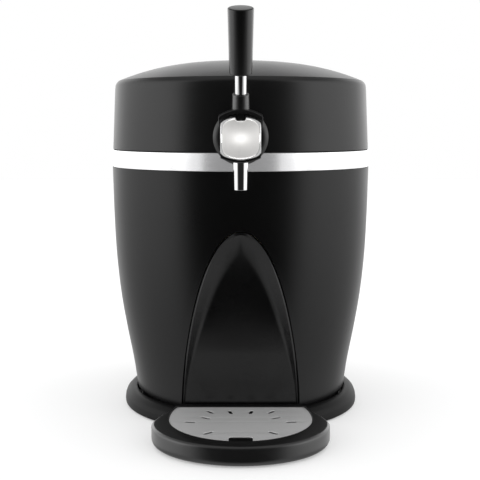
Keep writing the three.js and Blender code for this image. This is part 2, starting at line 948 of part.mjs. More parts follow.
function lidLiner() {
  const radius = lidWallTopRadius - lidThick - seatGap;
  const top = lidWallTop;
  const low = deckTop + seatGap * 2 + sealHeight;
  const foot = lidFootRadius - lidThick - seatGap * 2;
  const outer = [
    [sealInner, low],
    [foot, low],
    [foot, low + lidLinerThick],
    [radius, low + lidLinerThick],
    [radius, top - lidLinerDrop],
    ...lidDome(radius - lidLinerInset, top, top + lidLinerDomeRise, lidLinerRows),
  ];
  const inner = lidDome(
    radius - lidLinerInset, top - lidLinerThick, top + lidLinerDomeRise - lidLinerThick, lidLinerRows,
  ).reverse();
  const wall = [
    [radius - lidLinerThick, top - lidLinerDrop - lidLinerThick],
    [radius - lidLinerThick, low + lidLinerThick],
    [sealInner, low + lidLinerThick],
  ];
  const shell = latheUp([...outer, ...inner, ...wall], bigSides);
  return cut(shell, neckNotch(neckNotchGap + seatGap));
}

function lidInsulation() {
  const radius = lidWallTopRadius - lidThick - lidFoamInset;
  const low = lidWallTop + lidLinerDomeRise + seatGap;
  const high = lidShoulderTop - lidThick - seatGap;
  const apex = lidApex - lidThick - seatGap;
  return latheUp([[0, low], [radius, low], ...lidDome(radius, high, apex, lidFoamRows)], bigSides);
}

function hingeBracket() {
  const half = hingeBracketHalf;
  const front = bandRadius + seatGap;
  const plate = block(
    [-half, half],
    [front, front + hingePlateThick],
    [hingeHeight - hingePlateDrop, hingeHeight - hingeKnuckleRadius - seatGap],
  );
  const inner = hingeLidHalf + hingeSideGap;
  const ears = [-1, 1].flatMap((side) => {
    const span = side < 0 ? [-half, -inner] : [inner, half];
    const knuckle = diskAcross(hingeKnuckleRadius, span[0], span[1], middleSides);
    knuckle.translate(0, hingeReach, hingeHeight);
    const low = hingeHeight - hingePlateDrop / 2;
    const web = block(span, [front, hingeReach], [low, hingeHeight - hingeWebDrop]);
    return [knuckle, web];
  });
  return cut(join(plate, ...ears), hingeBore(half + cutOver));
}

function hingePin() {
  const pin = diskAcross(hingePinRadius, -hingeBracketHalf, hingeBracketHalf, smallSides);
  return pin.translate(0, hingeReach, hingeHeight);
}

// The face plate's height limits follow an arch, and its surface is crowned both ways
function facePoint(across, up, depth, growth) {
  const side = across * 2 - 1;
  const half = faceHalfWidth + growth;
  const arch = faceArch * side * side;
  const top = faceTop + growth - arch;
  const low = faceBottom - growth + arch;
  const z = THREE.MathUtils.lerp(low, top, up);
  const middle = (faceTop + faceBottom) / 2;
  const rise = (z - middle) / ((faceTop - faceBottom) / 2);
  const reach = faceReach - faceCrownUp * rise * rise - faceCrownAcross * side * side;
  return [side * half, -(reach - depth), z];
}

function faceBody(frontDepth, backDepth, growth) {
  const face = (across, up) => facePoint(across, up, frontDepth, growth);
  const back = (across, up) => facePoint(across, up, backDepth, growth);
  return gridSolid(face, back, faceColumns, faceRows);
}

function tapFace() {
  const notch = diskFront(faceNotchRadius, headFront - cutOver, faceReach + cutOver, smallSides);
  notch.translate(0, 0, faceTop + faceNotchRadius - faceNotchDepth);
  return cut(faceBody(0, faceThick, 0), notch);
}

// A drum about the pivot, crowned like the lever's hood
function drumProfile(radius, half, crown) {
  const rim = drumShares.map((share) => [radius - crown * share * share, half * share]);
  return [[0, -half], ...rim, [0, half]];
}

function tapHead() {
  const shape = new THREE.Shape();
  const low = pivotHeight - headDrop;
  shape.moveTo(-headHalfWidth, low + headChin);
  shape.quadraticCurveTo(0, low - headChin, headHalfWidth, low + headChin);
  shape.lineTo(headHalfWidth, pivotHeight);
  shape.lineTo(-headHalfWidth, pivotHeight);
  const chin = frontPlate(shape, -headFront, -escutcheonBack);
  const drum = latheAcross(drumProfile(drumRadius, headHalfWidth, drumCrown), middleSides);
  drum.translate(0, -pivotReach, pivotHeight);
  return join(chin, drum);
}

function tapBody() {
  const front = escutcheonBack + escutcheonThick;
  const plate = latheFront([
    [0, escutcheonBack],
    [escutcheonRadius, escutcheonBack],
    ...escutcheonShares.map(([out, rise]) => [
      escutcheonRadius * out, escutcheonBack + escutcheonThick * rise,
    ]),
    [0, front],
  ], middleSides).translate(0, 0, escutcheonHeight);
  const neck = diskFront(neckRadius, neckRear, escutcheonBack + escutcheonThick, middleSides);
  neck.translate(0, 0, neckHeight);
  const barb = diskAcross(barbRadius, 0, neckRadius + barbLength, smallSides);
  barb.translate(0, -barbReach, valveHeight);
  const drumRoom = block(
    [-bladeHalfWidth - bladeSlotGap, bladeHalfWidth + bladeSlotGap],
    [-faceReach, -pivotReach + bladeEye + bladeSlotGap],
    [valveHeight - fingerRadius - bladeSlotGap, pivotHeight + hoodRadius],
  );
  const at = (geometry) => geometry.translate(0, 0, valveHeight);
  const frontBore = at(diskFront(plungerBore, valveWallFront, pivotReach, smallSides));
  const guide = at(diskFront(plungerRadius + pinGap, neckRear, pivotReach, smallSides));
  const chamber = at(diskFront(plugRadius + pinGap, neckRear - cutOver, valveWallRear, smallSides));
  const lineBore = diskAcross(barbBore, 0, neckRadius + barbLength + cutOver, smallSides);
  lineBore.translate(0, -barbReach, valveHeight);
  const pinBore = diskAcross(pivotPinRadius + pinGap, -hoodHalfWidth, hoodHalfWidth, smallSides);
  pinBore.translate(0, -pivotReach, pivotHeight);
  const spoutRoom = diskUp(spoutTopRadius + seatGap, 0, spoutRoot + seatGap, middleSides);
  spoutRoom.translate(0, -spoutReach, 0);
  const faceRoom = faceBody(-cutOver * 2, faceThick + seatGap, seatGap);
  return cut(
    join(plate, neck, barb, tapHead()),
    drumRoom, frontBore, guide, chamber, lineBore, pinBore, spoutRoom, faceRoom,
  );
}

function spout() {
  const tube = latheUp([
    [spoutBore, spoutTip],
    [spoutTipRadius - spoutEdgeShare * spoutTipRadius, spoutTip],
    [spoutTipRadius, spoutTip + spoutEdgeShare * spoutTipRadius],
    [spoutTopRadius, faceBottom],
    [spoutTopRadius, spoutRoot],
    [spoutBore, spoutRoot],
  ], middleSides);
  return tube.translate(0, -spoutReach, 0);
}

function pivotPin() {
  const half = headHalfWidth - seatGap;
  const pin = diskAcross(pivotPinRadius, -half, half, smallSides);
  return pin.translate(0, -pivotReach, pivotHeight);
}

// The lever's pieces are drawn about the pivot
function hoodShell() {
  const outer = latheAcross(drumProfile(hoodRadius, hoodHalfWidth, hoodCrown), middleSides);
  const innerHalf = hoodHalfWidth - hoodCheek;
  const inner = latheAcross(drumProfile(hoodRadius - hoodThick, innerHalf, hoodCrown), middleSides);
  const shell = cut(outer, inner);
  const region = block(
    [-hoodHalfWidth - cutOver, hoodHalfWidth + cutOver],
    [-hoodFront, hoodBack],
    [hoodSkirtRise, hoodRadius + cutOver],
  );
  return common(shell, region);
}

function leverHub() {
  const collar = latheUp([
    [0, -bladeHalfDepth],
    [collarFootRadius * collarHeelShare, -bladeHalfDepth / 2],
    [collarFootRadius, 0],
    [collarTopRadius, collarLength],
    [0, collarLength],
  ], middleSides);
  const boreLow = collarLength - collarBoreDepth;
  const bore = diskUp(stemRadius + seatGap, boreLow, collarLength + cutOver, middleSides);
  const leaned = cut(collar, bore).rotateX(leverLean).translate(0, 0, hoodRadius - hoodThick / 2);
  const clear = latheAcross(
    drumProfile(hoodRadius - hoodThick, hoodHalfWidth - hoodCheek, hoodCrown), middleSides,
  );
  const blade = block(
    [-bladeHalfWidth, bladeHalfWidth],
    [-bladeHalfDepth, bladeHalfDepth],
    [0, hoodRadius - hoodThick / 2],
  );
  const finger = block(
    [-bladeHalfWidth, bladeHalfWidth],
    [-fingerRadius, fingerRadius],
    [-plungerDrop, 0],
  );
  const tip = diskAcross(fingerRadius, -bladeHalfWidth, bladeHalfWidth, smallSides);
  tip.translate(0, 0, -plungerDrop);
  const eye = diskAcross(bladeEye, -bladeHalfWidth, bladeHalfWidth, middleSides);
  const pinBore = diskAcross(pivotPinRadius + pinGap, -hoodHalfWidth, hoodHalfWidth, smallSides);
  return cut(join(hoodShell(), cut(leaned, clear), blade, finger, tip, eye), pinBore);
}

function leverStem() {
  const low = collarLength - collarBoreDepth + seatGap;
  const high = collarLength + stemShow + handleBoreDepth - seatGap;
  return diskUp(stemRadius, low, high, middleSides);
}

function tapHandle() {
  const low = collarLength + stemShow;
  const high = low + handleLength;
  const body = latheUp([
    [0, low],
    [handleFootRadius - handleEdge, low],
    [handleFootRadius, low + handleEdge],
    [handleTopRadius, high - handleEdge],
    [handleTopRadius - handleEdge, high],
    [0, high],
  ], middleSides);
  return cut(body, diskUp(stemRadius + seatGap, low - cutOver, low + handleBoreDepth, middleSides));
}

// The plunger's cap faces the lever's finger, and its disc shuts the chamber's mouth
function valvePlunger() {
  const front = pivotReach - fingerRadius - plungerPlay;
  const plunger = latheFront([
    [0, plungerRear],
    [plungerCapRadius, plungerRear],
    [plungerCapRadius, plungerRear + plungerDiscThick],
    [plungerRadius, plungerRear + plungerDiscThick],
    [plungerRadius, front - plungerCapThick],
    [plungerCapRadius, front - plungerCapThick],
    [plungerCapRadius, front],
    [0, front],
  ], smallSides);
  return plunger.translate(0, 0, valveHeight);
}

class Coil extends THREE.Curve {
  constructor(radius, turns, rear, front) {
    super();
    Object.assign(this, { radius, turns, rear, front });
  }
  getPoint(share, target = new THREE.Vector3()) {
    const angle = share * this.turns * Math.PI * 2;
    const reach = THREE.MathUtils.lerp(this.rear, this.front, share);
    return target.set(this.radius * Math.cos(angle), -reach, this.radius * Math.sin(angle));
  }
}

function ringShape(outer, inner, sides) {
  const corners = (radius) => Array.from({ length: sides }, (_, i) => {
    const angle = i / sides * Math.PI * 2;
    return new THREE.Vector2(radius * Math.cos(angle), radius * Math.sin(angle));
  });
  const shape = new THREE.Shape(corners(outer));
  if (inner) shape.holes.push(new THREE.Path(corners(inner)));
  return shape;
}

function valveSpring() {
  const front = pivotReach - fingerRadius - plungerPlay - plungerCapThick - seatGap - springWire;
  const path = new Coil(springRadius, springTurns, valveWallFront + seatGap + springWire, front);
  const spring = new THREE.ExtrudeGeometry(ringShape(springWire, 0, springSides), {
    extrudePath: path, steps: springTurns * springTurnRows,
  });
  return spring.translate(0, 0, valveHeight);
}

function neckPlug() {
  const plug = latheFront([
    [0, neckRear - plugHeadThick],
    [plugHead, neckRear - plugHeadThick],
    [plugHead, neckRear - seatGap],
    [plugRadius, neckRear - seatGap],
    [plugRadius, neckRear + plugLength],
    [0, neckRear + plugLength],
  ], smallSides);
  return plug.translate(0, 0, valveHeight);
}

function tapCradle() {
  const low = deckTop + seatGap;
  const saddle = block(
    [-cradleHalfWidth, cradleHalfWidth], [-cradleFront, -cradleRear], [low, low + cradleHeight],
  );
  const neckRoom = diskFront(neckRadius + seatGap, neckRear - cutOver, escutcheonBack, middleSides);
  neckRoom.translate(0, 0, neckHeight);
  const barbRoom = diskAcross(hoseRadius + seatGap, 0, neckRadius + barbLength, smallSides);
  barbRoom.translate(0, -barbReach, valveHeight);
  return cut(saddle, neckRoom, barbRoom);
}

function rimPoint(angle, radius, height) {
  return new THREE.Vector3(radius * Math.sin(angle), -radius * Math.cos(angle), height);
}

// A place in front of the coupler, on the axis of its side port
function portPoint(distance) {
  const middle = rimPoint(couplerAngle, hoseArcRadius, couplerPortHeight);
  const along = new THREE.Vector3(Math.cos(couplerAngle), Math.sin(couplerAngle), 0);
  return middle.addScaledVector(along, -distance);
}

// From the tap's barb it sags to the deck and rises to the coupler's port
function beerHose() {
  const low = deckTop + hoseRest + hoseRadius;
  const points = [
    new THREE.Vector3(neckRadius + seatGap * 2, -barbReach, valveHeight),
    new THREE.Vector3(neckRadius + barbLength, -barbReach, valveHeight),
  ];
  for (let i = 0; i <= hoseSteps; i++) {
    const share = i / hoseSteps;
    const end = share < 1 / 2 ? valveHeight : couplerPortHeight;
    const rise = (end - low) * (share * 2 - 1) ** 2;
    const angle = THREE.MathUtils.lerp(hoseStart, hoseEnd, share);
    points.push(rimPoint(angle, hoseArcRadius, low + rise));
  }
  points.push(portPoint(couplerRadius + barbLength), portPoint(couplerRadius + seatGap));
  const path = new THREE.CatmullRomCurve3(points);
  const section = ringShape(hoseRadius, hoseBore, hoseSides);
  return new THREE.ExtrudeGeometry(section, { extrudePath: path, steps: hoseRows });
}

function kegCoupler() {
  const low = deckTop + seatGap * 2;
  const place = rimPoint(couplerAngle, hoseArcRadius, 0);
  const body = latheUp([
    [0, low],
    [couplerNose, low],
    [couplerNose, low + dockHeight],
    [couplerRadius, low + dockHeight + seatGap * 2],
    [couplerRadius, low + couplerHeight - couplerEdge],
    [couplerRadius * couplerTopShare, low + couplerHeight],
    [0, low + couplerHeight],
  ], middleSides);
  const port = diskAcross(barbRadius, 0, couplerRadius + barbLength, smallSides);
  port.rotateZ(Math.PI + couplerAngle).translate(0, 0, couplerPortHeight);
  return join(body, port).translate(place.x, place.y, 0);
}

function couplerDock() {
  const low = deckTop + seatGap;
  const place = rimPoint(couplerAngle, hoseArcRadius, 0);
  const inner = couplerNose + seatGap;
  return tubeUp(inner, inner + dockWall, low, low + dockHeight, middleSides).translate(place.x, place.y, 0);
}

// Plan outlines of the tray and of its plate: a flat back, bowed sides and a half ellipse in front
function ovalShape(half, middle, front, back, backHalf, bend) {
  const shape = new THREE.Shape();
  shape.moveTo(-backHalf, -back);
  shape.quadraticCurveTo(-half, -bend, -half, -middle);
  shape.absellipse(0, -middle, half, front - middle, Math.PI, Math.PI * 2, false);
  shape.quadraticCurveTo(half, -bend, backHalf, -back);
  return shape;
}

function trayShape(inset) {
  return ovalShape(
    trayHalfWidth - inset, trayMiddle, trayMiddle + trayFrontDepth - inset,
    trayBack + inset, trayBackHalf - inset, trayBend,
  );
}

function plateShape(inset) {
  return ovalShape(
    plateHalfWidth - inset, plateMiddle, plateFront - inset,
    plateBack + inset, plateBackHalf - inset, plateBend,
  );
}

function dripTray() {
  const rounded = new THREE.ExtrudeGeometry(trayShape(trayEdge), {
    depth: trayTop - trayLift - trayEdge + cutOver,
    bevelEnabled: true,
    bevelSize: trayEdge,
    bevelThickness: trayEdge,
    bevelSegments: trayEdgeRows,
    curveSegments: trayCurveRows,
  }).translate(0, 0, trayLift - cutOver);
  const below = block(
    [-trayHalfWidth - cutOver, trayHalfWidth + cutOver],
    [-frontReach - cutOver, 0],
    [trayLift - cutOver * 2, trayLift],
  );
  const tongues = [-tonguePlace, tonguePlace].map((x) => block(
    [x - tongueHalfWidth, x + tongueHalfWidth],
    [-trayBack - panWall, -trayBack + tongueLength],
    [trayLift + tongueHeight, trayLift + tongueHeight + tongueThick],
  ));
  const plateLow = trayTop - plateDrop - plateThick - seatGap;
  const plateRoom = planPlate(plateShape(-plateGap), plateLow, trayTop + cutOver);
  const basin = planPlate(plateShape(plateLedge), trayLift + trayFloor, trayTop);
  return cut(join(cut(rounded, below), ...tongues), plateRoom, basin);
}

function plateTool(shape) {
  const tool = new THREE.ExtrudeGeometry(shape, {
    depth: plateThick + cutOver, bevelEnabled: false, curveSegments: plateSlotRows,
  });
  return tool.translate(0, 0, trayTop - plateDrop - plateThick - cutOver / 2);
}

function gripTool() {
  const shape = roundedRectangle(plateGripHalf, -plateGripDepth / 2, plateGripDepth / 2, plateGripCorner);
  return plateTool(shape).translate(0, -plateGripReach, 0);
}

function slotTool(reach, side, turn, length, width) {
  const half = width / 2;
  const run = length / 2 - half;
  const shape = new THREE.Shape();
  shape.moveTo(-run, -half);
  shape.lineTo(run, -half);
  shape.absarc(run, 0, half, -Math.PI / 2, Math.PI / 2);
  shape.lineTo(-run, half);
  shape.absarc(-run, 0, half, Math.PI / 2, Math.PI * 1.5);
  return plateTool(shape).rotateZ(turn).translate(side, -reach, 0);
}

function dripPlate() {
  const high = trayTop - plateDrop;
  const sheet = planPlate(plateShape(0), high - plateThick, high);
  const radial = (radius) => (degrees) => {
    const angle = THREE.MathUtils.degToRad(degrees);
    const side = radius * Math.cos(angle);
    const reach = plateCentre + radius * Math.sin(angle);
    return slotTool(reach, side, -angle, plateSlotLength, plateSlotWidth);
  };
  const slots = [
    ...plateInnerAngles.map(radial(plateInnerRing)),
    ...plateOuterAngles.map(radial(plateOuterRing)),
    gripTool(),
  ];
  return cut(sheet, ...slots);
}

function coverBox(half, low, high, corner, edge, rear) {
  const front = bodyFootRadius / 2;
  const shape = roundedRectangle(half - edge, low + edge, high - edge, corner - edge);
  const geometry = new THREE.ExtrudeGeometry(shape, {
    depth: rear - front - edge, bevelEnabled: edge > 0, bevelSize: edge, bevelThickness: edge,
    bevelSegments: coverEdgeRows, curveSegments: coverCornerRows,
  });
  return geometry.rotateX(Math.PI / 2).translate(0, rear - edge, 0);
}

function rearCover() {
  const outer = coverBox(coverHalfWidth, coverBottom, coverTop, coverCorner, coverEdge, coverReach);
  const inner = coverBox(
    coverHalfWidth - coverWall, coverBottom + coverWall, coverTop - coverWall,
    coverCorner - coverWall, 0, coverInner,
  );
  const rockerHoleX = rockerHalfWidth + rockerGap + bezelWall + seatGap;
  const rockerHoleZ = rockerHalfHeight + rockerGap + bezelWall + seatGap;
  const through = (x, z, halfX, halfZ) => block(
    [x - halfX, x + halfX], [coverInner - cutOver, coverReach + cutOver], [z - halfZ, z + halfZ],
  );
  const vents = Array.from({ length: ventCount }, (_, i) => {
    const z = coolHeight + (i - (ventCount - 1) / 2) * ventPitch;
    return through(0, z, ventHalfWidth, ventHeight / 2);
  });
  const holes = screwPlaces().map(([x, z]) => {
    const hole = diskRear(screwShank + screwGap, coverInner - cutOver, coverReach + cutOver, smallSides);
    return hole.translate(x, 0, z);
  });
  const lampHole = diskRear(lampRadius + seatGap, coverInner - cutOver, coverReach + cutOver, smallSides);
  lampHole.translate(0, 0, powerHeight);
  const shell = cut(outer, inner, barrelFilled(seatGap));
  const posts = boardPlaces().map(([x, z]) => diskRear(
    boardPostRadius, boardReach + boardThick + seatGap, coverInner + coverWall / 2, smallSides,
  ).translate(x, 0, z));
  return cut(
    join(shell, ...posts),
    ...vents,
    ...holes,
    lampHole,
    through(inletPlace, powerHeight, inletHalfWidth + seatGap, inletHalfHeight + seatGap),
    through(rockerPlace, powerHeight, rockerHoleX, rockerHoleZ),
  );
}

function boardPlaces() {
  const x = boardHalfWidth - boardPostInset;
  const z = boardHalfHeight - boardPostInset;
  return [[-x, -z], [x, -z], [-x, z], [x, z]].map(([side, rise]) => [side, boardHeight + rise]);
}

// A pan head screw, its head's underside at zero and its shank towards the front
function coverScrew() {
  return latheRear([
    [0, -screwLength],
    [screwShank, -screwLength],
    [screwShank, 0],
    [screwHead, 0],
    [screwHead, screwHeadThick / 2],
    [screwHead / 2, screwHeadThick],
    [0, screwHeadThick],
  ], smallSides);
}

function coldBlock() {
  const low = linerRadius - cutOver;
  const spanZ = [coolHeight - blockHalf, coolHeight + blockHalf];
  const bar = block([-blockHalf, blockHalf], [low, blockRear], spanZ);
  return cut(bar, diskUp(linerOuter + seatGap, 0, linerTopHeight, bigSides));
}

function peltierModule() {
  return block(
    [-peltierHalf, peltierHalf], [peltierFront, peltierRear],
    [coolHeight - peltierHalf, coolHeight + peltierHalf],
  );
}

function heatSink() {
  const spanZ = [coolHeight - sinkHalfHeight, coolHeight + sinkHalfHeight];
  const base = block([-sinkHalfWidth, sinkHalfWidth], [sinkFront, sinkFront + sinkBase], spanZ);
  const pitch = (sinkHalfWidth * 2 - finThick) / (finCount - 1);
  const fins = Array.from({ length: finCount }, (_, i) => {
    const x = (i - (finCount - 1) / 2) * pitch;
    const spanX = [x - finThick / 2, x + finThick / 2];
    return block(spanX, [sinkFront + sinkBase / 2, sinkRear], spanZ);
  });
  return join(base, ...fins);
}

function fanFrame() {
  const rear = fanFront + fanDepth;
  const frame = block([-fanHalf, fanHalf], [fanFront, rear], [-fanHalf, fanHalf]);
  const bore = diskRear(fanBore, fanFront - cutOver, rear + cutOver, middleSides);
  const hub = diskRear(fanHub, rear - fanStrut, rear, middleSides);
  const struts = Array.from({ length: fanStrutCount }, (_, i) => {
    const strut = block([0, fanBore + fanTipGap], [rear - fanStrut, rear], [-fanStrut / 2, fanStrut / 2]);
    return strut.rotateY((i + fanStrutTurnShare) / fanStrutCount * Math.PI * 2);
  });
  return join(cut(frame, bore), hub, ...struts).translate(0, 0, coolHeight);
}

// The rotor is drawn about its own centre, with its axis along Y
function fanRotor() {
  const half = (fanDepth - fanStrut) / 2 - fanTipGap / 2;
  const hub = diskRear(fanHub, -half, half, middleSides);
  const tip = fanBore - fanTipGap;
  const blades = Array.from({ length: fanBlades }, (_, i) => {
    const blade = new THREE.BoxGeometry(tip - fanHub / 2, half * 2, fanBladeThick);
    blade.rotateX(fanPitch).translate((tip + fanHub / 2) / 2, 0, 0);
    return blade.rotateY(i / fanBlades * Math.PI * 2);
  });
  return join(hub, ...blades);
}

function controlBoard() {
  const front = boardReach;
  const rear = front + boardThick;
  const z = boardHeight;
  const board = block(
    [-boardHalfWidth, boardHalfWidth], [front, rear], [z - boardHalfHeight, z + boardHalfHeight],
  );
  const coil = block(
    [-boardHalfWidth / 2, 0], [rear - boardThick / 2, rear + boardPart],
    [z - boardHalfHeight / 2, z + boardHalfHeight / 2],
  );
  const cans = canShares.map((share) => {
    const can = diskRear(canRadius, rear - boardThick / 2, rear + boardPart * canHeightShare, smallSides);
    return can.translate(boardHalfWidth * share, 0, z);
  });
  return join(board, coil, ...cans);
}

function powerInlet() {
  const face = coverReach + seatGap;
  const around = (x, z, low, high) => block([-x, x], [low, high], [-z, z]);
  const flange = around(
    inletHalfWidth + inletFlange, inletHalfHeight + inletFlange, face, face + inletFlangeThick,
  );
  const body = around(inletHalfWidth, inletHalfHeight, coverReach - inletDepth, face + inletFlangeThick / 2);
  const socketLow = coverReach - inletDepth + inletFlange;
  const socket = around(inletSocketHalfWidth, inletSocketHalfHeight, socketLow, face + cutOver);
  const pins = [-inletPinPlace, inletPinPlace].map((x) => diskRear(
    inletPinRadius, socketLow - inletFlange / 2, coverReach - inletFlange, smallSides,
  ).translate(x, 0, 0));
  return join(cut(join(flange, body), socket), ...pins).translate(inletPlace, 0, powerHeight);
}

function rockerBezel() {
  const face = coverReach + seatGap;
  const halfX = rockerHalfWidth + rockerGap;
  const halfZ = rockerHalfHeight + rockerGap;
  const around = (growth, low, high) => block(
    [-halfX - growth, halfX + growth], [low, high], [-halfZ - growth, halfZ + growth],
  );
  const flange = around(bezelWall + bezelFlange, face, face + bezelThick);
  const sleeve = around(bezelWall, coverReach - rockerDepth, face + bezelThick / 2);
  const pocket = around(0, coverReach - rockerDepth + bezelWall, face + cutOver);
  return cut(join(flange, sleeve), pocket).translate(rockerPlace, 0, powerHeight);
}

// The paddle is drawn about its pivot: a shallow trough outside and a round belly inside
function powerRocker() {
  const shape = new THREE.Shape();
  const top = rockerRise * 2;
  shape.moveTo(-rockerHalfHeight, top);
  shape.lineTo(-rockerHalfHeight, 0);
  shape.quadraticCurveTo(0, -rockerHalfHeight * rockerBellyShare, rockerHalfHeight, 0);
  shape.lineTo(rockerHalfHeight, top);
  shape.lineTo(0, rockerRise);
  const paddle = new THREE.ExtrudeGeometry(shape, {
    depth: rockerHalfWidth * 2, bevelEnabled: false, curveSegments: rockerRows,
  });
  paddle.translate(0, 0, -rockerHalfWidth);
  return paddle.rotateY(-Math.PI / 2);
}

function statusLens() {
  const lens = latheRear([
    [0, coverInner - coverWall * 2],
    [lampRadius, coverInner - coverWall * 2],
    [lampRadius, coverReach],
    [lampRadius * lampTopShare, coverReach + lampRise * lampTopShare],
    [0, coverReach + lampRise],
  ], smallSides);
  return lens.translate(0, 0, powerHeight);
}

// One named mesh with its own material
function piece(name, geometry, color, roughness, metalness) {
  const material = new THREE.MeshStandardMaterial({ color, roughness, metalness });
  const mesh = new THREE.Mesh(geometry, material);
  mesh.name = name;
  return mesh;
}

const machine = new THREE.Group();
machine.add(
  piece("body_shell", bodyShell(), 0x1c1c1e, 0.45, 0),
  piece("recess_panel", recessPanel(), 0x202022, 0.4, 0),
  piece("base_ring", baseRing(), 0x1a1a1b, 0.45, 0),
  piece("base_pan", basePan(), 0x161616, 0.6, 0),
  piece("chrome_band", chromeBand(), 0xd8d8d8, 0.12, 1),
  piece("chamber_rim", chamberRim(), 0x222224, 0.5, 0),
  piece("chamber_liner", chamberLiner(), 0xb8bcc0, 0.35, 1),
  piece("insulation_jacket", insulationJacket(), 0xe8e2cc, 0.9, 0),
  piece("lid_seal", lidSeal(), 0x101010, 0.85, 0),
  piece("lid_shell", lidShell(), 0x1c1c1e, 0.45, 0),
  piece("lid_liner", lidLiner(), 0x2a2a2c, 0.5, 0),
  piece("lid_insulation", lidInsulation(), 0xe8e2cc, 0.9, 0),
  piece("hinge_leaf", hingeLeaf(), 0x222224, 0.5, 0),
  piece("hinge_bracket", hingeBracket(), 0x222224, 0.5, 0),
  piece("hinge_pin", hingePin(), 0xb0b0b0, 0.3, 1),
  piece("tap_body", tapBody(), 0x181819, 0.4, 0),
  piece("tap_face", tapFace(), 0xe0e0e0, 0.1, 1),
  piece("spout", spout(), 0xe0e0e0, 0.1, 1),
  piece("valve_plunger", valvePlunger(), 0xc8c8c8, 0.3, 1),
  piece("valve_spring", valveSpring(), 0xb0b0b0, 0.3, 1),
  piece("lever_pin", pivotPin(), 0xb0b0b0, 0.3, 1),
  piece("neck_plug", neckPlug(), 0x181819, 0.5, 0),
  piece("tap_cradle", tapCradle(), 0x222224, 0.5, 0),
  piece("beer_hose", beerHose(), 0xdedede, 0.35, 0),
  piece("keg_coupler", kegCoupler(), 0x303032, 0.45, 0),
  piece("coupler_dock", couplerDock(), 0x222224, 0.5, 0),
  piece("drip_tray", dripTray(), 0x1a1a1b, 0.4, 0),
  piece("drip_plate", dripPlate(), 0xb9b9b9, 0.3, 1),
  piece("rear_cover", rearCover(), 0x1c1c1e, 0.55, 0),
  piece("cold_block", coldBlock(), 0xc0c4c8, 0.4, 1),
  piece("peltier_module", peltierModule(), 0xf0f0ec, 0.6, 0),
  piece("heat_sink", heatSink(), 0xa8acb0, 0.45, 1),
  piece("fan_frame", fanFrame(), 0x141414, 0.6, 0),
  piece("control_board", controlBoard(), 0x1f6b3a, 0.5, 0),
  piece("power_inlet", powerInlet(), 0x101010, 0.5, 0),
  piece("rocker_bezel", rockerBezel(), 0x141414, 0.45, 0),
  piece("status_lens", statusLens(), 0xc23a2c, 0.2, 0),
);

const rotor = piece("fan_rotor", fanRotor(), 0x1a1a1a, 0.55, 0);
rotor.position.set(0, fanFront + (fanDepth - fanStrut) / 2, coolHeight);
machine.add(rotor);

const rocker = piece("power_rocker", powerRocker(), 0x161616, 0.4, 0);
rocker.position.set(rockerPlace, coverReach - rockerSink, powerHeight);
rocker.rotation.x = rockerTilt;
machine.add(rocker);

screwPlaces().forEach(([x, z], i) => {
  const screw = piece("cover_screw_" + (i + 1), coverScrew(), 0x8c8c8c, 0.4, 1);
  screw.position.set(x, coverReach + seatGap, z);
  machine.add(screw, piece("cover_post_" + (i + 1), coverPost(x, z), 0x8c8c8c, 0.5, 1));
});

const lever = new THREE.Group();
lever.position.set(0, -pivotReach, pivotHeight);
lever.add(piece("lever_hub", leverHub(), 0x1a1a1b, 0.4, 0));
const leverAxis = new THREE.Group();
leverAxis.position.z = hoodRadius - hoodThick / 2;
leverAxis.rotation.x = leverLean;
leverAxis.add(
  piece("lever_stem", leverStem(), 0xe0e0e0, 0.1, 1),
  piece("tap_handle", tapHandle(), 0x222223, 0.4, 0),
);
lever.add(leverAxis);
machine.add(lever);

["left", "right"].forEach((side, column) => {
  ["front", "rear"].forEach((end, row) => {
    const mesh = piece("foot_" + end + "_" + side, foot(), 0x0e0e0e, 0.9, 0);
    const place = footPlace * Math.SQRT1_2;
    mesh.position.set((column * 2 - 1) * place, (row * 2 - 1) * place, 0);
    machine.add(mesh);
  });
});

machine.position.y = (frontReach - rearReach) / 2;

const part = new THREE.Group();
part.add(machine);
export default part;
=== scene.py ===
import json
import math

import bmesh
import bpy
import numpy as np
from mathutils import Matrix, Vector
from mathutils.geometry import tessellate_polygon


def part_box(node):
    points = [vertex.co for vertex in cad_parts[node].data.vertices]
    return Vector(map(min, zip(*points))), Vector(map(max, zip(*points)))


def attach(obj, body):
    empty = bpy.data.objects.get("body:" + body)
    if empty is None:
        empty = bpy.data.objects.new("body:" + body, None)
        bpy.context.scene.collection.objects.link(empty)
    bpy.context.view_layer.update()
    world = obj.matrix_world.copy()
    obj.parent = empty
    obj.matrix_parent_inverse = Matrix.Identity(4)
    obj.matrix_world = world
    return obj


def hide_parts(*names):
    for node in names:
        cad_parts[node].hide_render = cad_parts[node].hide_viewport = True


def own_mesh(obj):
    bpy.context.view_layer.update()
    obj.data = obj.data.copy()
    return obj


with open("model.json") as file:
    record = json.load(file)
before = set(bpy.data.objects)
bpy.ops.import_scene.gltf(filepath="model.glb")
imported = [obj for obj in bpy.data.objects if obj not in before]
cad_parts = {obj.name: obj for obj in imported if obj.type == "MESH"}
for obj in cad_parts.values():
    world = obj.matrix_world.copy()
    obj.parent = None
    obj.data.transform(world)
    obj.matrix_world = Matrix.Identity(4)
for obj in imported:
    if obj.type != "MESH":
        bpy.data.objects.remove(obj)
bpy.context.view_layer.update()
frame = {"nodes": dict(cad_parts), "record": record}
print("frame loaded,", len(frame["nodes"]), "nodes")

# Sizes are in millimetres about the barrel's axis, z up, and "reach" is how far in front of that axis
mm = 0.001
bandLow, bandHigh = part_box("chrome_band")
axisY = (bandLow.y + bandHigh.y) / 2
fullTurn = 2 * math.pi
quarter = math.pi / 2
# Points nearer than this are merged
doubleGap = 0.02 * mm
# Edges shorter than this are dropped
leastEdge = 0.005 * mm
# A corner's arc takes up at most this share of its shorter side
sideShare = 0.499


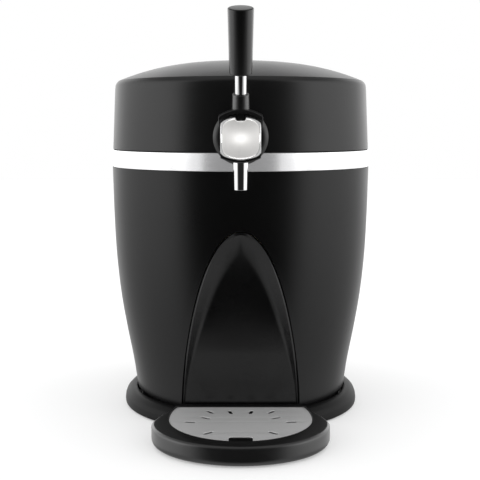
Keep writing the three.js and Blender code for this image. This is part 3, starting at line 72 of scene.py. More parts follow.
def placed(points):
    # Barrel millimetres, x, y and z in the last axis, to metres in the frame
    return np.asarray(points, float) * mm + np.array([0.0, axisY, 0.0])


def together(*parts):
    # Numbers and arrays side by side, in the last axis
    return np.stack(np.broadcast_arrays(*parts), axis=-1)


def arc(radius, turn):
    return together(radius * np.cos(turn), radius * np.sin(turn))


def picked(values, names):
    return [values[name] for name in names.split()]


def smoothThrough(points, steps):
    # A curve through the points: on each span, a cubic whose end slopes come from the neighbours,
    # with the root of the distance between points as its pace
    p = np.asarray(points, float)
    p = np.vstack([2 * p[0] - p[1], p, 2 * p[-1] - p[-2]])
    pace = np.sqrt(np.linalg.norm(np.diff(p, axis=0), axis=1))
    knots = np.concatenate([[0], np.cumsum(pace)])
    spans = []
    for i in range(1, len(p) - 2):
        t = np.linspace(knots[i], knots[i + 1], steps, endpoint=i == len(p) - 3)[:, None]
        k = knots[i - 1:i + 3]
        q = p[i - 1:i + 3]
        a = [((k[j + 1] - t) * q[j] + (t - k[j]) * q[j + 1]) / (k[j + 1] - k[j]) for j in range(3)]
        b = [((k[j + 2] - t) * a[j] + (t - k[j]) * a[j + 1]) / (k[j + 2] - k[j]) for j in range(2)]
        spans.append(((k[2] - t) * b[0] + (t - k[1]) * b[1]) / (k[2] - k[1]))
    return np.vstack(spans)


def filleted(corners, radii, steps=5, closed=True):
    # Each corner becomes an arc that touches both of its sides: a rational curve of degree two, whose
    # middle weight is the sine of half the corner's angle
    corners = np.asarray(corners, float)
    radii = np.broadcast_to(np.asarray(radii, float), len(corners))
    count = len(corners)
    line = []
    t = np.linspace(0, 1, steps + 1)[:, None]
    for i, (corner, radius) in enumerate(zip(corners, radii)):
        before = corners[i - 1] - corner
        after = corners[(i + 1) % count] - corner
        if radius <= 0 or (not closed and i in (0, count - 1)):
            line.append(corner[None])
            continue
        longest = min(np.linalg.norm(before), np.linalg.norm(after))
        before = before / np.linalg.norm(before)
        after = after / np.linalg.norm(after)
        half = math.acos(np.clip(before @ after, -1, 1)) / 2
        trim = min(radius / math.tan(half), longest * sideShare)
        weight = math.sin(half)
        start = corner + before * trim
        end = corner + after * trim
        top = (1 - t) ** 2 * start + 2 * weight * t * (1 - t) * corner + t ** 2 * end
        line.append(top / ((1 - t) ** 2 + 2 * weight * t * (1 - t) + t ** 2))
    return np.vstack(line)


def boxLoop(left, right, low, high, radius, steps):
    return filleted([[left, low], [right, low], [right, high], [left, high]], radius, steps)


def quarterRoll(radius, count):
    # How far in and how far along an edge is while a quarter circle rolls it over
    turn = np.linspace(0, quarter, count)
    return radius * (1 - np.sin(turn)), radius * (1 - np.cos(turn))


def normed(vectors):
    return vectors / np.linalg.norm(vectors, axis=1)[:, None]


def gridFaces(rows, columns, closeRows=False, closeColumns=False):
    # Quads between neighbours of a grid of rows by columns
    row = np.arange(rows if closeRows else rows - 1)
    column = np.arange(columns if closeColumns else columns - 1)
    r, c = np.meshgrid(row, column, indexing="ij")
    nextRow = (r + 1) % rows
    nextColumn = (c + 1) % columns
    quads = [r * columns + c, r * columns + nextColumn, nextRow * columns + nextColumn, nextRow * columns + c]
    return np.stack(quads, axis=-1).reshape(-1, 4)


def roundAxis(radius, angles, height):
    # Angles start at the front: x = radius sin(angle), y = -radius cos(angle)
    return together(radius * np.sin(angles), -radius * np.cos(angles), height)


def revolved(profile, turns, start=0.0, sweep=fullTurn):
    # Each profile point, radius and height, goes round the axis
    profile = np.asarray(profile, float)
    whole = sweep == fullTurn
    angles = start + np.linspace(0, sweep, turns, endpoint=not whole)
    points = roundAxis(profile[:, 0, None], angles, profile[:, 1, None])
    return points.reshape(-1, 3), gridFaces(len(profile), turns, True, whole)


def turned(corners, rounds, turns, steps=5):
    return revolved(filleted(corners, rounds, steps), turns)


def cappedEnds(shape, columns):
    # On a grid with closed rows, the first and the last column each get a face
    points, faces = shape
    start = list(range(0, len(points), columns))
    end = list(range(columns - 1, len(points), columns))[::-1]
    return points, [list(face) for face in faces] + [start, end]


def lofted(loops, closeEnds=True):
    # Loops of the same length are joined in their order, and the first and last get a face
    loops = np.asarray(loops, float)
    rows, columns = loops.shape[:2]
    faces = [list(face) for face in gridFaces(rows, columns, False, True)]
    if closeEnds:
        last = (rows - 1) * columns
        faces += [list(range(columns - 1, -1, -1)), list(range(last, last + columns))]
    return loops.reshape(-1, 3), faces


def joined(shapes):
    points, faces, shift = [], [], 0
    for shapePoints, shapeFaces in shapes:
        points.append(np.asarray(shapePoints, float))
        faces += [[int(corner) + shift for corner in face] for face in shapeFaces]
        shift += len(shapePoints)
    return np.vstack(points), faces


def bothSides(right, faces):
    # A grid of points and its mirror image across x = 0
    left = right * np.array([-1, 1, 1])
    return joined([(right.reshape(-1, 3), faces), (left.reshape(-1, 3), faces[:, ::-1])])


def moved(shape, x=0, y=0, z=0):
    points, faces = shape
    return points + np.array([x, y, z]), faces


def reordered(shape, order, signs=(1, 1, 1)):
    # Lays a shape over: its new x, y and z are the old ones in another order, with signs
    points, faces = shape
    return points[:, order] * np.array(signs), faces


def atLevel(loop, z):
    # A loop of x and reach, laid flat at a height
    return together(loop[:, 0], -loop[:, 1], z)


def atSide(loop, x):
    # A loop of reach and z, stood upright at a distance from the middle plane
    return together(x, -loop[:, 0], loop[:, 1])


def cleaned(mesh, sharp, flat=0):
    # Doubles merged, near-flat neighbours made one face or collapsed faces dropped, normals out, then
    # smooth shading with sharp creases
    tools = bmesh.new()
    tools.from_mesh(mesh)
    bmesh.ops.remove_doubles(tools, verts=tools.verts, dist=doubleGap)
    if flat:
        limit = math.radians(flat)
        bmesh.ops.dissolve_limit(
            tools, angle_limit=limit, verts=tools.verts, edges=tools.edges, delimit=set(),
        )
    else:
        bmesh.ops.dissolve_degenerate(tools, edges=tools.edges, dist=leastEdge)
    bmesh.ops.recalc_face_normals(tools, faces=tools.faces)
    tools.to_mesh(mesh)
    tools.free()
    mesh.shade_smooth()
    mesh.set_sharp_from_angle(angle=math.radians(sharp))
    mesh.update()


def softenEdges(piece, width, steps, angle):
    edge = piece.modifiers.new("edges", "BEVEL")
    edge.width = width * mm
    edge.segments = steps
    edge.limit_method = "ANGLE"
    edge.angle_limit = math.radians(angle)
    edge.harden_normals = True


def dressed(name, mesh, finish, body, stands):
    mesh.materials.clear()
    mesh.materials.append(finish)
    piece = bpy.data.objects.new(name, mesh)
    bpy.context.scene.collection.objects.link(piece)
    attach(piece, body)
    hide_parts(*stands)
    return piece


def buildPiece(name, shape, finish, body, stands, sharp=32, wall=0, bevel=0, bevelSteps=3):
    points, faces = shape
    mesh = bpy.data.meshes.new(name)
    mesh.from_pydata(placed(points).tolist(), [], [list(map(int, face)) for face in faces])
    cleaned(mesh, sharp)
    piece = dressed(name, mesh, finish, body, stands)
    if wall:
        thick = piece.modifiers.new("wall", "SOLIDIFY")
        thick.thickness = wall * mm
        thick.offset = -1
        thick.use_even_offset = True
    if bevel:
        softenEdges(piece, bevel, bevelSteps, angle=40)
    return piece


def softenedCopy(node, finish, body, width):
    # The solid's own form, merged into whole faces, with its edges rounded
    mesh = frame["nodes"][node].data.copy()
    mesh.name = node + "_formed"
    cleaned(mesh, sharp=32, flat=2)
    piece = dressed(node + "_formed", mesh, finish, body, [node])
    softenEdges(piece, width, steps=2, angle=35)


# Materials: a wire is one output socket, and sums on it add the nodes
class Wire:
    def __init__(self, tree, socket):
        self.tree = tree
        self.socket = socket

    def node(self, kind, settings=(), sockets=(), output=0):
        made = self.tree.nodes.new(kind)
        for name, value in dict(settings).items():
            setattr(made, name, value)
        for name, value in dict(sockets).items():
            if isinstance(value, Wire):
                self.tree.links.new(value.socket, made.inputs[name])
            else:
                made.inputs[name].default_value = value
        return Wire(self.tree, made.outputs[output])

    def math(self, operation, first, second):
        return self.node("ShaderNodeMath", {"operation": operation}, {0: first, 1: second})

    def __add__(self, other):
        return self.math("ADD", self, other)

    __radd__ = __add__

    def __sub__(self, other):
        return self.math("SUBTRACT", self, other)

    def __rsub__(self, other):
        return self.math("SUBTRACT", other, self)

    def __mul__(self, other):
        return self.math("MULTIPLY", self, other)

    __rmul__ = __mul__

    def noise(self, scale, detail=2.0, roughness=0.5):
        sockets = {"Vector": self, "Scale": scale, "Detail": detail, "Roughness": roughness}
        return self.node("ShaderNodeTexNoise", {}, sockets)

    def between(self, low, high, lowValue, highValue, kind="LINEAR"):
        settings = {"clamp": True, "interpolation_type": kind}
        sockets = {"Value": self, "From Min": low, "From Max": high, "To Min": lowValue, "To Max": highValue}
        return self.node("ShaderNodeMapRange", settings, sockets)

    def tint(self, dark, light):
        sockets = {0: self, 6: (*dark, 1), 7: (*light, 1)}
        return self.node("ShaderNodeMix", {"data_type": "RGBA"}, sockets, 2)

    def stretched(self, scale):
        return self.node("ShaderNodeMapping", {}, {"Vector": self, "Scale": scale})

    def bump(self, strength, distance):
        return self.node("ShaderNodeBump", {}, {"Height": self, "Strength": strength, "Distance": distance})


def newFinish(name, pattern, **fixed):
    # The pattern gets the object's coordinates and gives what varies over the surface
    material = bpy.data.materials.new(name)
    material.use_nodes = True
    tree = material.node_tree
    shader = tree.nodes["Principled BSDF"]
    for socket, value in fixed.items():
        shader.inputs[socket.replace("_", " ")].default_value = value
    coordinates = tree.nodes.new("ShaderNodeTexCoord")
    for socket, wire in pattern(Wire(tree, coordinates.outputs["Object"])).items():
        tree.links.new(wire.socket, shader.inputs[socket])
    return material


# Tones are shares of the finish's own, "from" and "to" the span of the pattern that sets its gloss
mould = {
    "cloudScale": 14, "dark": 0.82, "light": 1.2, "speckShare": 0.3, "speckGloss": 0.4,
    "from": 0.35, "to": 1.05, "smoother": 0.035, "rougher": 0.045, "grainHeight": 0.06,
    "cloudDetail": 3, "speckDetail": 2,
}
polish = {
    "streakScale": 60, "streakDetail": 3, "streakRough": 0.6, "cloudScale": 22, "dark": 0.93, "light": 1.05,
    "cloudTone": 0.4, "cloudGloss": 0.3, "from": 0.3, "to": 0.7, "streakHeight": 0.03, "cloudDetail": 2,
}


def mixed(first, second, share):
    return (1 - share) * first + share * second


def moulded(name, tone, rough, grainScale, grain, **fixed):
    # Fine mould grain, a slow change of gloss and a faint change of tone
    def pattern(place):
        cloud = place.noise(mould["cloudScale"], mould["cloudDetail"])
        speck = place.noise(grainScale, mould["speckDetail"])
        dark, light = ([value * mould[end] for value in tone] for end in ("dark", "light"))
        return {
            "Base Color": mixed(cloud, speck, mould["speckShare"]).tint(dark, light),
            "Roughness": (cloud + mould["speckGloss"] * speck).between(
                mould["from"], mould["to"], rough - mould["smoother"], rough + mould["rougher"],
            ),
            "Normal": speck.bump(grain, mould["grainHeight"] * mm),
        }
    return newFinish(name, pattern, **fixed)


def metal(name, tone, low, high, stretch, streak, metallic=1.0):
    # Polishing streaks along one way, and a slow cloud in the gloss
    def pattern(place):
        brushed = place.stretched(stretch).noise(*picked(polish, "streakScale streakDetail streakRough"))
        cloud = place.noise(polish["cloudScale"], polish["cloudDetail"])
        dark, light = ([min(value * polish[end], 1) for value in tone] for end in ("dark", "light"))
        shade = mixed(brushed, cloud, polish["cloudTone"]).tint(dark, light)
        gloss = mixed(brushed, cloud, polish["cloudGloss"])
        return {
            "Base Color": shade,
            "Roughness": gloss.between(polish["from"], polish["to"], low, high),
            "Normal": brushed.bump(streak, polish["streakHeight"] * mm),
        }
    return newFinish(name, pattern, Metallic=metallic)


def grey(level, blue=0.0):
    return (level, level, level + blue)


# Plastics: tone, roughness, grain's scale and strength. Those on the outside share the barrel's grain
satinGrain, glossGrain = (2600, 0.16), (3200, 0.05)
blackSatin = moulded("blackSatin", grey(0.003, 0.0002), 0.29, *satinGrain, Specular_IOR_Level=0.5)
lidSatin = moulded("lidSatin", grey(0.0052, 0.0002), 0.29, *satinGrain, Specular_IOR_Level=0.58)
ringSatin = moulded("ringSatin", grey(0.003, 0.0002), 0.42, *satinGrain, Specular_IOR_Level=0.24)
recessSatin = moulded("recessSatin", grey(0.003, 0.0002), 0.26, *satinGrain, Specular_IOR_Level=0.58)
blackGloss = moulded("blackGloss", grey(0.0034, 0.0002), 0.3, *glossGrain, Specular_IOR_Level=1.0)
traySatin = moulded("traySatin", grey(0.008, 0.0002), 0.3, *glossGrain, Specular_IOR_Level=1.0)
blackInner = moulded("blackInner", grey(0.012, 0.001), 0.5, 1800, 0.25, Specular_IOR_Level=0.4)
sealRubber = moulded("sealRubber", grey(0.014), 0.72, 1500, 0.3)
foam = moulded("foam", (0.78, 0.72, 0.55), 0.9, 900, 0.8)
clearTube = moulded("clearTube", (0.72, 0.74, 0.74), 0.2, 400, 0.05, Transmission_Weight=0.35, IOR=1.42)
ceramic = moulded("ceramic", (0.75, 0.74, 0.7), 0.55, 1200, 0.2)
board = moulded("board", (0.02, 0.13, 0.05), 0.42, 1500, 0.2)
lampRed = moulded("lampRed", (0.5, 0.03, 0.02), 0.15, 1500, 0.03, Transmission_Weight=0.3)

# Metals: tone, lowest and highest roughness, how far the streaks are squeezed along x, y and z, their depth
chromed = metal("chromed", grey(0.98, 0.005), 0.04, 0.09, (1, 1, 14), 0.02)
bandChrome = metal("bandChrome", grey(0.9, 0.01), 0.2, 0.26, (1, 1, 14), 0.02)
satinChrome = metal("satinChrome", (0.84, 0.83, 0.815), 0.5, 0.56, (14, 1, 1), 0.03, 0.85)
rimChrome = metal("rimChrome", grey(0.97), 0.16, 0.22, (14, 1, 1), 0.01)
stainless = metal("stainless", grey(0.6), 0.4, 0.48, (1, 18, 1), 0.12, 0.5)
potSteel = metal("potSteel", (0.6, 0.61, 0.62), 0.3, 0.42, (1, 1, 20), 0.1)
bareSteel = metal("bareSteel", (0.55, 0.54, 0.53), 0.25, 0.4, (1, 12, 1), 0.08)
castAluminium = metal("castAluminium", (0.72, 0.73, 0.74), 0.35, 0.5, (1, 1, 9), 0.2)
print("finishes made")

# Barrel: radius against height, a curve through the mould line's seven stations
barrel = {
    "foot": 20.0, "height": 234.0, "footRadius": 112.0, "topRadius": 135.5, "wall": 3.0, "edge": 0.7,
    "riseShares": [0, 0.12, 0.27, 0.42, 0.6, 0.8, 1],
    "swellShares": [0, 0.17, 0.45, 0.69, 0.87, 0.96, 1],
    "archHalf": 59.0, "archHeight": 178.0, "archTaper": 1.5, "archRound": 0.46,
    "windowHalf": 44.0, "windowLow": 48.0, "windowHigh": 224.0,
    "rows": 14, "apexRows": 70, "apexCrowd": 2.2, "sideColumns": 100, "sideCrowd": 0.85, "rearColumns": 16,
}
barrelTop = barrel["foot"] + barrel["height"]
archTop = barrel["foot"] + barrel["archHeight"]
swell = (barrel["topRadius"] - barrel["footRadius"]) * np.array(barrel["swellShares"])
climb = barrel["height"] * np.array(barrel["riseShares"])
barrelLine = smoothThrough(together(barrel["footRadius"] + swell, barrel["foot"] + climb), steps=24)


def barrelRadius(height):
    # Read off the barrel's line
    return np.interp(height, barrelLine[:, 1], barrelLine[:, 0])


def archHalf(height):
    # Half width = foot half width (1 - rise ^ taper) ^ round
    share = np.clip((height - barrel["foot"]) / barrel["archHeight"], 0, 1)
    return barrel["archHalf"] * (1 - share ** barrel["archTaper"]) ** barrel["archRound"]


def makeBarrel():
    # Rows crowd towards the arch's apex, columns towards its edge, and the rear window stays open
    low, high, rows = barrel["windowLow"], barrel["windowHigh"], barrel["rows"]
    nearApex = archTop - (archTop - low) * (1 - np.linspace(0, 1, barrel["apexRows"])) ** barrel["apexCrowd"]
    levels = np.concatenate([
        np.linspace(barrel["foot"], low, rows)[:-1], nearApex[:-1],
        np.linspace(archTop, high, rows)[:-1], np.linspace(high, barrelTop, rows),
    ])
    radius = barrelRadius(levels)
    first = np.arcsin(np.where(levels < archTop, archHalf(levels), 0) / radius)[:, None]
    last = math.pi - np.arcsin(barrel["windowHalf"] / radius)[:, None]
    side = first + (last - first) * np.linspace(0, 1, barrel["sideColumns"]) ** barrel["sideCrowd"]
    rear = last + (math.pi - last) * np.linspace(0, 1, barrel["rearColumns"])[1:]
    angles = np.concatenate([side, rear], axis=1)
    columns = angles.shape[1]
    faces = gridFaces(len(levels), columns)
    middle = (levels[faces[:, 0] // columns] + levels[faces[:, 2] // columns]) / 2
    pastSide = faces[:, 0] % columns >= barrel["sideColumns"] - 1
    faces = faces[~(pastSide & (middle > low) & (middle < high))]
    shape = bothSides(roundAxis(radius[:, None], angles, levels[:, None]), faces)
    buildPiece(
        "barrel_skin", shape, blackSatin, "housing", ["body_shell"],
        wall=barrel["wall"], bevel=barrel["edge"],
    )


# Glass recess: across the arch the panel lies on a flat chord, scooped back, with a soft flank at its edge
recess = {
    "gap": 0.6, "lip": 0.8, "scoop": 12.0, "thick": 2.5, "edge": 0.35, "low": 20.3,
    "flankFoot": 1.5, "flankRise": 16.0, "flankPower": 1.3, "slope": 0.88, "easeFrom": 0.6, "easeOver": 1.2,
    "spare": 3.0, "blend": 2.2, "footLip": 0.9, "footLow": 45.0, "footHigh": 75.0,
    "rows": 140, "columns": 121, "sideCrowd": 1.6, "roomPower": 4,
}


def makeRecess():
    # Reach = chord's edge - wall - bowl, and the scoop's depth is 4 rise (1 - rise) of its deepest. The wall
    # falls in from the edge and eases out, no deeper than the scoop, and the bowl takes up what depth is left
    r = recess
    side = np.linspace(-1, 1, r["columns"])
    side = np.sign(side) * (1 - (1 - np.abs(side)) ** r["sideCrowd"])
    climb = archTop - r["gap"] - r["low"]
    level = r["low"] + climb * np.sin(np.linspace(0, 1, r["rows"]) * quarter)[:, None]
    half = np.maximum(archHalf(level + r["gap"]) - r["gap"], 0)
    rise = (level - barrel["foot"]) / (barrel["archHeight"] - r["gap"])
    lip = r["lip"] + np.interp(level, [r["footLow"], r["footHigh"]], [r["footLip"], 0])
    edge = np.sqrt(barrelRadius(level) ** 2 - half ** 2) - lip
    depth = r["scoop"] * 4 * np.clip(rise * (1 - rise), 0, 1)
    flank = r["flankFoot"] + r["flankRise"] * rise ** r["flankPower"]
    inset = half * (1 - np.abs(side)) / flank
    ease = np.clip((inset - r["easeFrom"]) / r["easeOver"], 0, 1)
    run = np.minimum(inset, r["easeFrom"] + r["easeOver"]) - r["easeOver"] * (ease ** 3 - ease ** 4 / 2)
    wall = r["slope"] * flank * run
    deepest = wall.max(axis=1, keepdims=True)
    room = (depth + r["spare"]) / np.maximum(deepest, 0.1)
    room = room / (1 + room ** r["roomPower"]) ** (1 / r["roomPower"])
    left = depth - deepest * room
    bowl = (left + np.sqrt(left ** 2 + r["blend"] ** 2)) / 2 * (1 - side ** 2)
    x = half * side
    points = together(x, wall * room + bowl - edge, level)
    buildPiece(
        "recess_scoop", (points.reshape(-1, 3), gridFaces(r["rows"], r["columns"])), recessSatin,
        "housing", ["recess_panel"], wall=r["thick"], bevel=r["edge"],
    )


# Tray and plate outlines: a flat back, bowed sides and half an ellipse in front
tray = {
    "half": 84.0, "middle": 151.0, "front": 221.0, "back": 97.6, "backHalf": 64.0, "bend": 140.0,
    "low": 0.5, "top": 19.5, "floor": 2.5, "edge": 6.0, "rim": 3.2, "ledge": 4.0, "seatGap": 0.3,
    "underRings": [8.0, 2.0], "wallShares": [0.4, 0.55, 0.7],
    "lipRound": 0.5, "lipShare": 0.3, "seatRound": 0.4,
    "cove": [[0.3, 2.5], [1.0, 0.8], [2.6, 0.0]],
    "tonguePlace": 26.0, "tongueHalf": 6.0, "tongueLow": 8.5, "tongueThick": 3.0, "tongueRound": 1.5,
    "tongueIn": 3.0, "tongueOut": 7.0,
}
plate = {
    "half": 68.5, "middle": 135.0, "front": 204.0, "back": 100.0, "backHalf": 63.5, "bend": 118.0,
    "thick": 1.2, "top": 18.5, "gap": 0.5, "round": 0.4, "spacing": 2.0,
    "slotWidth": 3.6, "slotLength": 11.0, "centre": 154.0,
    "rings": [[39.0, [-30, 40, 140, 210, 255, 285]], [48.5, [-8, 188, 232, 308]]],
    "gripHalf": 11.0, "gripDepth": 11.5, "gripCorner": 3.0, "gripReach": 196.0,
}


def ovalLoop(sizes, inset, backCount=40, sideCount=44, frontCount=120):
    # From the back's left corner round the front to its right corner: quadratic sides, an ellipse in front
    half, back, backHalf = sizes["half"] - inset, sizes["back"] + inset, sizes["backHalf"] - inset
    front, middle = sizes["front"] - inset, sizes["middle"]
    corner, bend, shoulder = np.array([[backHalf, back], [half, sizes["bend"]], [half, middle]])
    t = np.linspace(0, 1, sideCount, endpoint=False)[:, None]

    def bowed(t):
        return (1 - t) ** 2 * corner + 2 * t * (1 - t) * bend + t ** 2 * shoulder

    turn = np.linspace(0, math.pi, frontCount, endpoint=False)
    bow = together(half * np.cos(turn), middle + (front - middle) * np.sin(turn))
    left = bowed(t[::-1] + 1 / sideCount) * np.array([-1, 1])
    rear = np.linspace(-backHalf, backHalf, backCount, endpoint=False)
    return np.vstack([bowed(t), bow, left, together(rear, back)])


def trayTongue(x):
    reach = np.array([tray["back"] + tray["tongueIn"], tray["back"] - tray["tongueOut"]])
    half, low = tray["tongueHalf"], tray["tongueLow"]
    loop = boxLoop(x - half, x + half, *reach, tray["tongueRound"], steps=3)
    return lofted([atLevel(loop, low), atLevel(loop, low + tray["tongueThick"])])


def makeTray():
    # Rings of inset and height: the underside, a rolled edge, the wall, the rim, the plate's seat, the basin
    low, top, edge, ledge = tray["low"], tray["top"], tray["edge"], tray["ledge"]
    rollIn, rollUp = quarterRoll(edge, count=7)
    rimDown, rimIn = quarterRoll(tray["rim"], count=9)
    outer = [(edge + more, low) for more in tray["underRings"]] + list(zip(rollIn, low + rollUp))
    outer += [(0, low + (top - low) * share) for share in tray["wallShares"]]
    outer += list(zip(rimIn, top - rimDown))
    room, lip, soft = -plate["gap"], tray["lipRound"], tray["seatRound"]
    seat = plate["top"] - plate["thick"] - tray["seatGap"]
    turn = lip * tray["lipShare"]
    inner = [(room - lip, top), (room - turn, top - turn), (room, top - lip)]
    inner += [(room, seat + soft / 2), (room + soft / 2, seat), (ledge - soft, seat), (ledge, seat - soft)]
    inner += [(ledge + inset, low + tray["floor"] + rise) for inset, rise in tray["cove"]]
    loops = [atLevel(ovalLoop(tray, inset), z) for inset, z in outer]
    loops += [atLevel(ovalLoop(plate, inset), z) for inset, z in inner]
    tongues = [trayTongue(x) for x in (-tray["tonguePlace"], tray["tonguePlace"])]
    return buildPiece(
        "tray_tub", joined([lofted(loops)] + tongues), traySatin, "tray", ["drip_tray"],
        sharp=40,
    )


def slotLoop(x, reach, turn, length, width, count=10):
    # A straight slot with half round ends, turned in the plan
    half = width / 2
    run = length / 2 - half
    angle = np.linspace(-quarter, quarter, count)
    loop = np.vstack([[run, 0] + arc(half, angle), [-run, 0] + arc(half, angle + math.pi)])
    across = np.array([math.cos(turn), math.sin(turn)])
    along = np.array([-math.sin(turn), math.cos(turn)])
    return np.array([x, reach]) + loop[:, :1] * across + loop[:, 1:] * along


def grown(loop, distance):
    # Each point moves out along the mean normal of its two sides; an anticlockwise loop grows
    before = loop - np.roll(loop, 1, axis=0)
    after = np.roll(loop, -1, axis=0) - loop
    way = normed(normed(before) + normed(after))
    return loop + distance * together(way[:, 1], -way[:, 0])


def filledBetween(loops):
    # Triangles of the flat face inside the first loop and outside the others
    return tessellate_polygon([[Vector((x, y, 0)) for x, y in loop] for loop in loops])


def pierced(outline, holes, high, low, rounding):
    # A sheet with round-edged holes: each loop's edge turns over by a quarter circle, top and bottom,
    # and the flat faces between the loops are filled
    rollIn, rollDown = quarterRoll(rounding, count=4)
    rings = list(zip(rollIn, high - rollDown)) + list(zip(rollIn[::-1], low + rollDown[::-1]))
    sides = [(outline, -1)] + [(hole, 1) for hole in holes]
    shapes = []
    for loop, way in sides:
        shapes.append(lofted([atLevel(grown(loop, way * inset), z) for inset, z in rings], False))
    flat = [grown(loop, way * rounding) for loop, way in sides]
    shapes += [(atLevel(np.vstack(flat), z), filledBetween(flat)) for z in (high, low)]
    return joined(shapes)


def evenlySpaced(loop, spacing):
    # The same closed line with points at even distances
    closed = np.vstack([loop, loop[:1]])
    length = np.concatenate([[0], np.cumsum(np.linalg.norm(np.diff(closed, axis=0), axis=1))])
    marks = np.linspace(0, length[-1], int(length[-1] / spacing), endpoint=False)
    return together(*(np.interp(marks, length, closed[:, i]) for i in (0, 1)))


def makePlate():
    # The slots point at the centre of their two rings, and the grip hole is in front of them
    holes = []
    for radius, angles in plate["rings"]:
        for angle in np.radians(angles):
            x, reach = radius * math.cos(angle), plate["centre"] + radius * math.sin(angle)
            holes.append(slotLoop(x, reach, angle, plate["slotLength"], plate["slotWidth"]))
    half, depth, reach = plate["gripHalf"], plate["gripDepth"] / 2, plate["gripReach"]
    holes.append(boxLoop(-half, half, reach - depth, reach + depth, plate["gripCorner"], steps=6))
    outline = evenlySpaced(ovalLoop(plate, 0), plate["spacing"])
    shape = pierced(outline, holes, plate["top"], plate["top"] - plate["thick"], plate["round"])
    return buildPiece("drip_plate_pressed", shape, stainless, "grid", ["drip_plate"], sharp=30)


# Base ring: its section, in shares of width and height, goes round from where the tray's outline leaves it
ring = {
    "radius": 125.5, "width": 17.0, "height": 16.6, "lift": 1.2, "trayGap": 0.8, "trayReach": 135.0,
    "columns": 220,
    "section": [
        [1, 0], [0.02, 0], [0, 0.2], [0.03, 0.45], [0.13, 0.72], [0.36, 0.96], [0.62, 1.01], [0.765, 0.99],
        [0.8, 0.85], [0.82, 0.4], [1, 0.3],
    ],
    "rounds": [0, 0.9, 3, 5, 6, 6, 5, 1.1, 0.8, 1.5, 0],
}


def makeRing():
    # At each radius the ring starts at the angle where the tray's outline has that radius
    inwards, upwards = np.array(ring["section"]).T
    section = together(ring["radius"] - inwards * ring["width"], ring["lift"] + upwards * ring["height"])
    section = filleted(section, ring["rounds"], steps=4)
    edge = ovalLoop(tray, -ring["trayGap"])
    edge = edge[(edge[:, 0] > 0) & (edge[:, 1] < ring["trayReach"])]
    distance = np.linalg.norm(edge, axis=1)
    angle = np.arctan2(edge[:, 0], edge[:, 1])
    order = np.argsort(distance)
    first = np.interp(section[:, 0], distance[order], angle[order])[:, None]
    angles = first + (fullTurn - 2 * first) * np.linspace(0, 1, ring["columns"])
    points = roundAxis(section[:, :1], angles, section[:, 1:]).reshape(-1, 3)
    shape = cappedEnds((points, gridFaces(len(section), ring["columns"], True)), ring["columns"])
    buildPiece("base_ring_moulded", shape, ringSatin, "housing", ["base_ring"], sharp=38)


# Chrome band, deck and chamber
chamber = {
    "bandRadius": 135.6, "bandWall": 1.7, "bandLow": 254.3, "bandTop": 271.7,
    "spigot": 132.2, "spigotWall": 3.0, "spigotLow": 246.0, "deckRadius": 133.6, "deckThick": 3.5,
    "throat": 89.5, "throatWall": 3.0, "throatLow": 264.2,
    "potRadius": 88.0, "potWall": 1.2, "potFloor": 26.0, "potTop": 263.5, "potFlange": 8.0,
    "bandRounds": [0.3, 0.7, 0.7, 0.3], "deckRounds": [0.3, 0.3, 0, 0.3, 0.8, 1.6, 0.4, 0.4, 1, 1],
    "potRounds": [0, 5.2, 0.4, 0.3, 0.3, 1.0, 4, 0],
}


def makeBand():
    outer, low, top = picked(chamber, "bandRadius bandLow bandTop")
    inner = outer - chamber["bandWall"]
    corners = [[inner, low], [outer, low], [outer, top], [inner, top]]
    shape = turned(corners, chamber["bandRounds"], turns=256)
    return buildPiece(
        "chrome_trim_band", shape, bandChrome, "housing", ["chrome_band"], sharp=40,
    )


def makeRim():
    spigot, spigotLow, throat, throatLow = picked(chamber, "spigot spigotLow throat throatLow")
    inner, outer = spigot - chamber["spigotWall"], throat + chamber["throatWall"]
    deck, step, top = picked(chamber, "deckRadius bandLow bandTop")
    under = top - chamber["deckThick"]
    shape = turned([
        [inner, spigotLow], [spigot, spigotLow], [spigot, step], [deck, step], [deck, top], [throat, top],
        [throat, throatLow], [outer, throatLow], [outer, under], [inner, under],
    ], chamber["deckRounds"], turns=256)
    buildPiece("chamber_deck", shape, blackInner, "housing", ["chamber_rim"], sharp=40)


def makePot():
    inner, wall, floor, top = picked(chamber, "potRadius potWall potFloor potTop")
    outer = inner + wall
    flange = outer + chamber["potFlange"]
    shape = turned([
        [0, floor], [outer, floor], [outer, top - wall], [flange, top - wall], [flange, top], [inner, top],
        [inner, floor + wall], [0, floor + wall],
    ], chamber["potRounds"], turns=192)
    buildPiece("chamber_pot", shape, potSteel, "housing", ["chamber_liner"], sharp=40)


# Lid: wall, rolled shoulder, crease and a dome that falls as a power of the radius
lid = {
    "foot": 272.5, "footRadius": 134.7, "wallTop": 332.5, "wallRadius": 131.9,
    "shoulderIn": 0.6, "shoulderDown": 3.4, "shoulderRound": 7.5,
    "creaseRadius": 128.0, "apex": 363.7, "domeFall": 20.2, "domeRadius": 126.0, "domePower": 2.55,
    "domeRows": 40, "domeCrowd": 1.2, "wall": 2.8, "edge": 0.6,
    "notch": 16.7, "notchCentre": 288.5, "notchGap": 0.3, "columns": 150, "columnCrowd": 1.15,
    "wallRows": [8, 26, 16],
}
liner = {
    "foot": 274.8, "flange": 122.0, "footRadius": 131.3, "footHigh": 2.4, "radius": 128.8,
    "top": 332.5, "dome": 8.0, "drop": 7.0, "inset": 5.0, "wall": 2.4, "edge": 0.5, "domeRows": 14,
}
seal = {
    "inner": 122.0, "outer": 128.0, "low": 272.0, "top": 274.5, "taper": 0.8, "rounds": [0.5, 0.5, 1.4, 1.4],
    "columns": 200,
}


def domeLevel(radius):
    # Height = apex - fall (radius / dome radius) ^ power
    return lid["apex"] - lid["domeFall"] * (radius / lid["domeRadius"]) ** lid["domePower"]


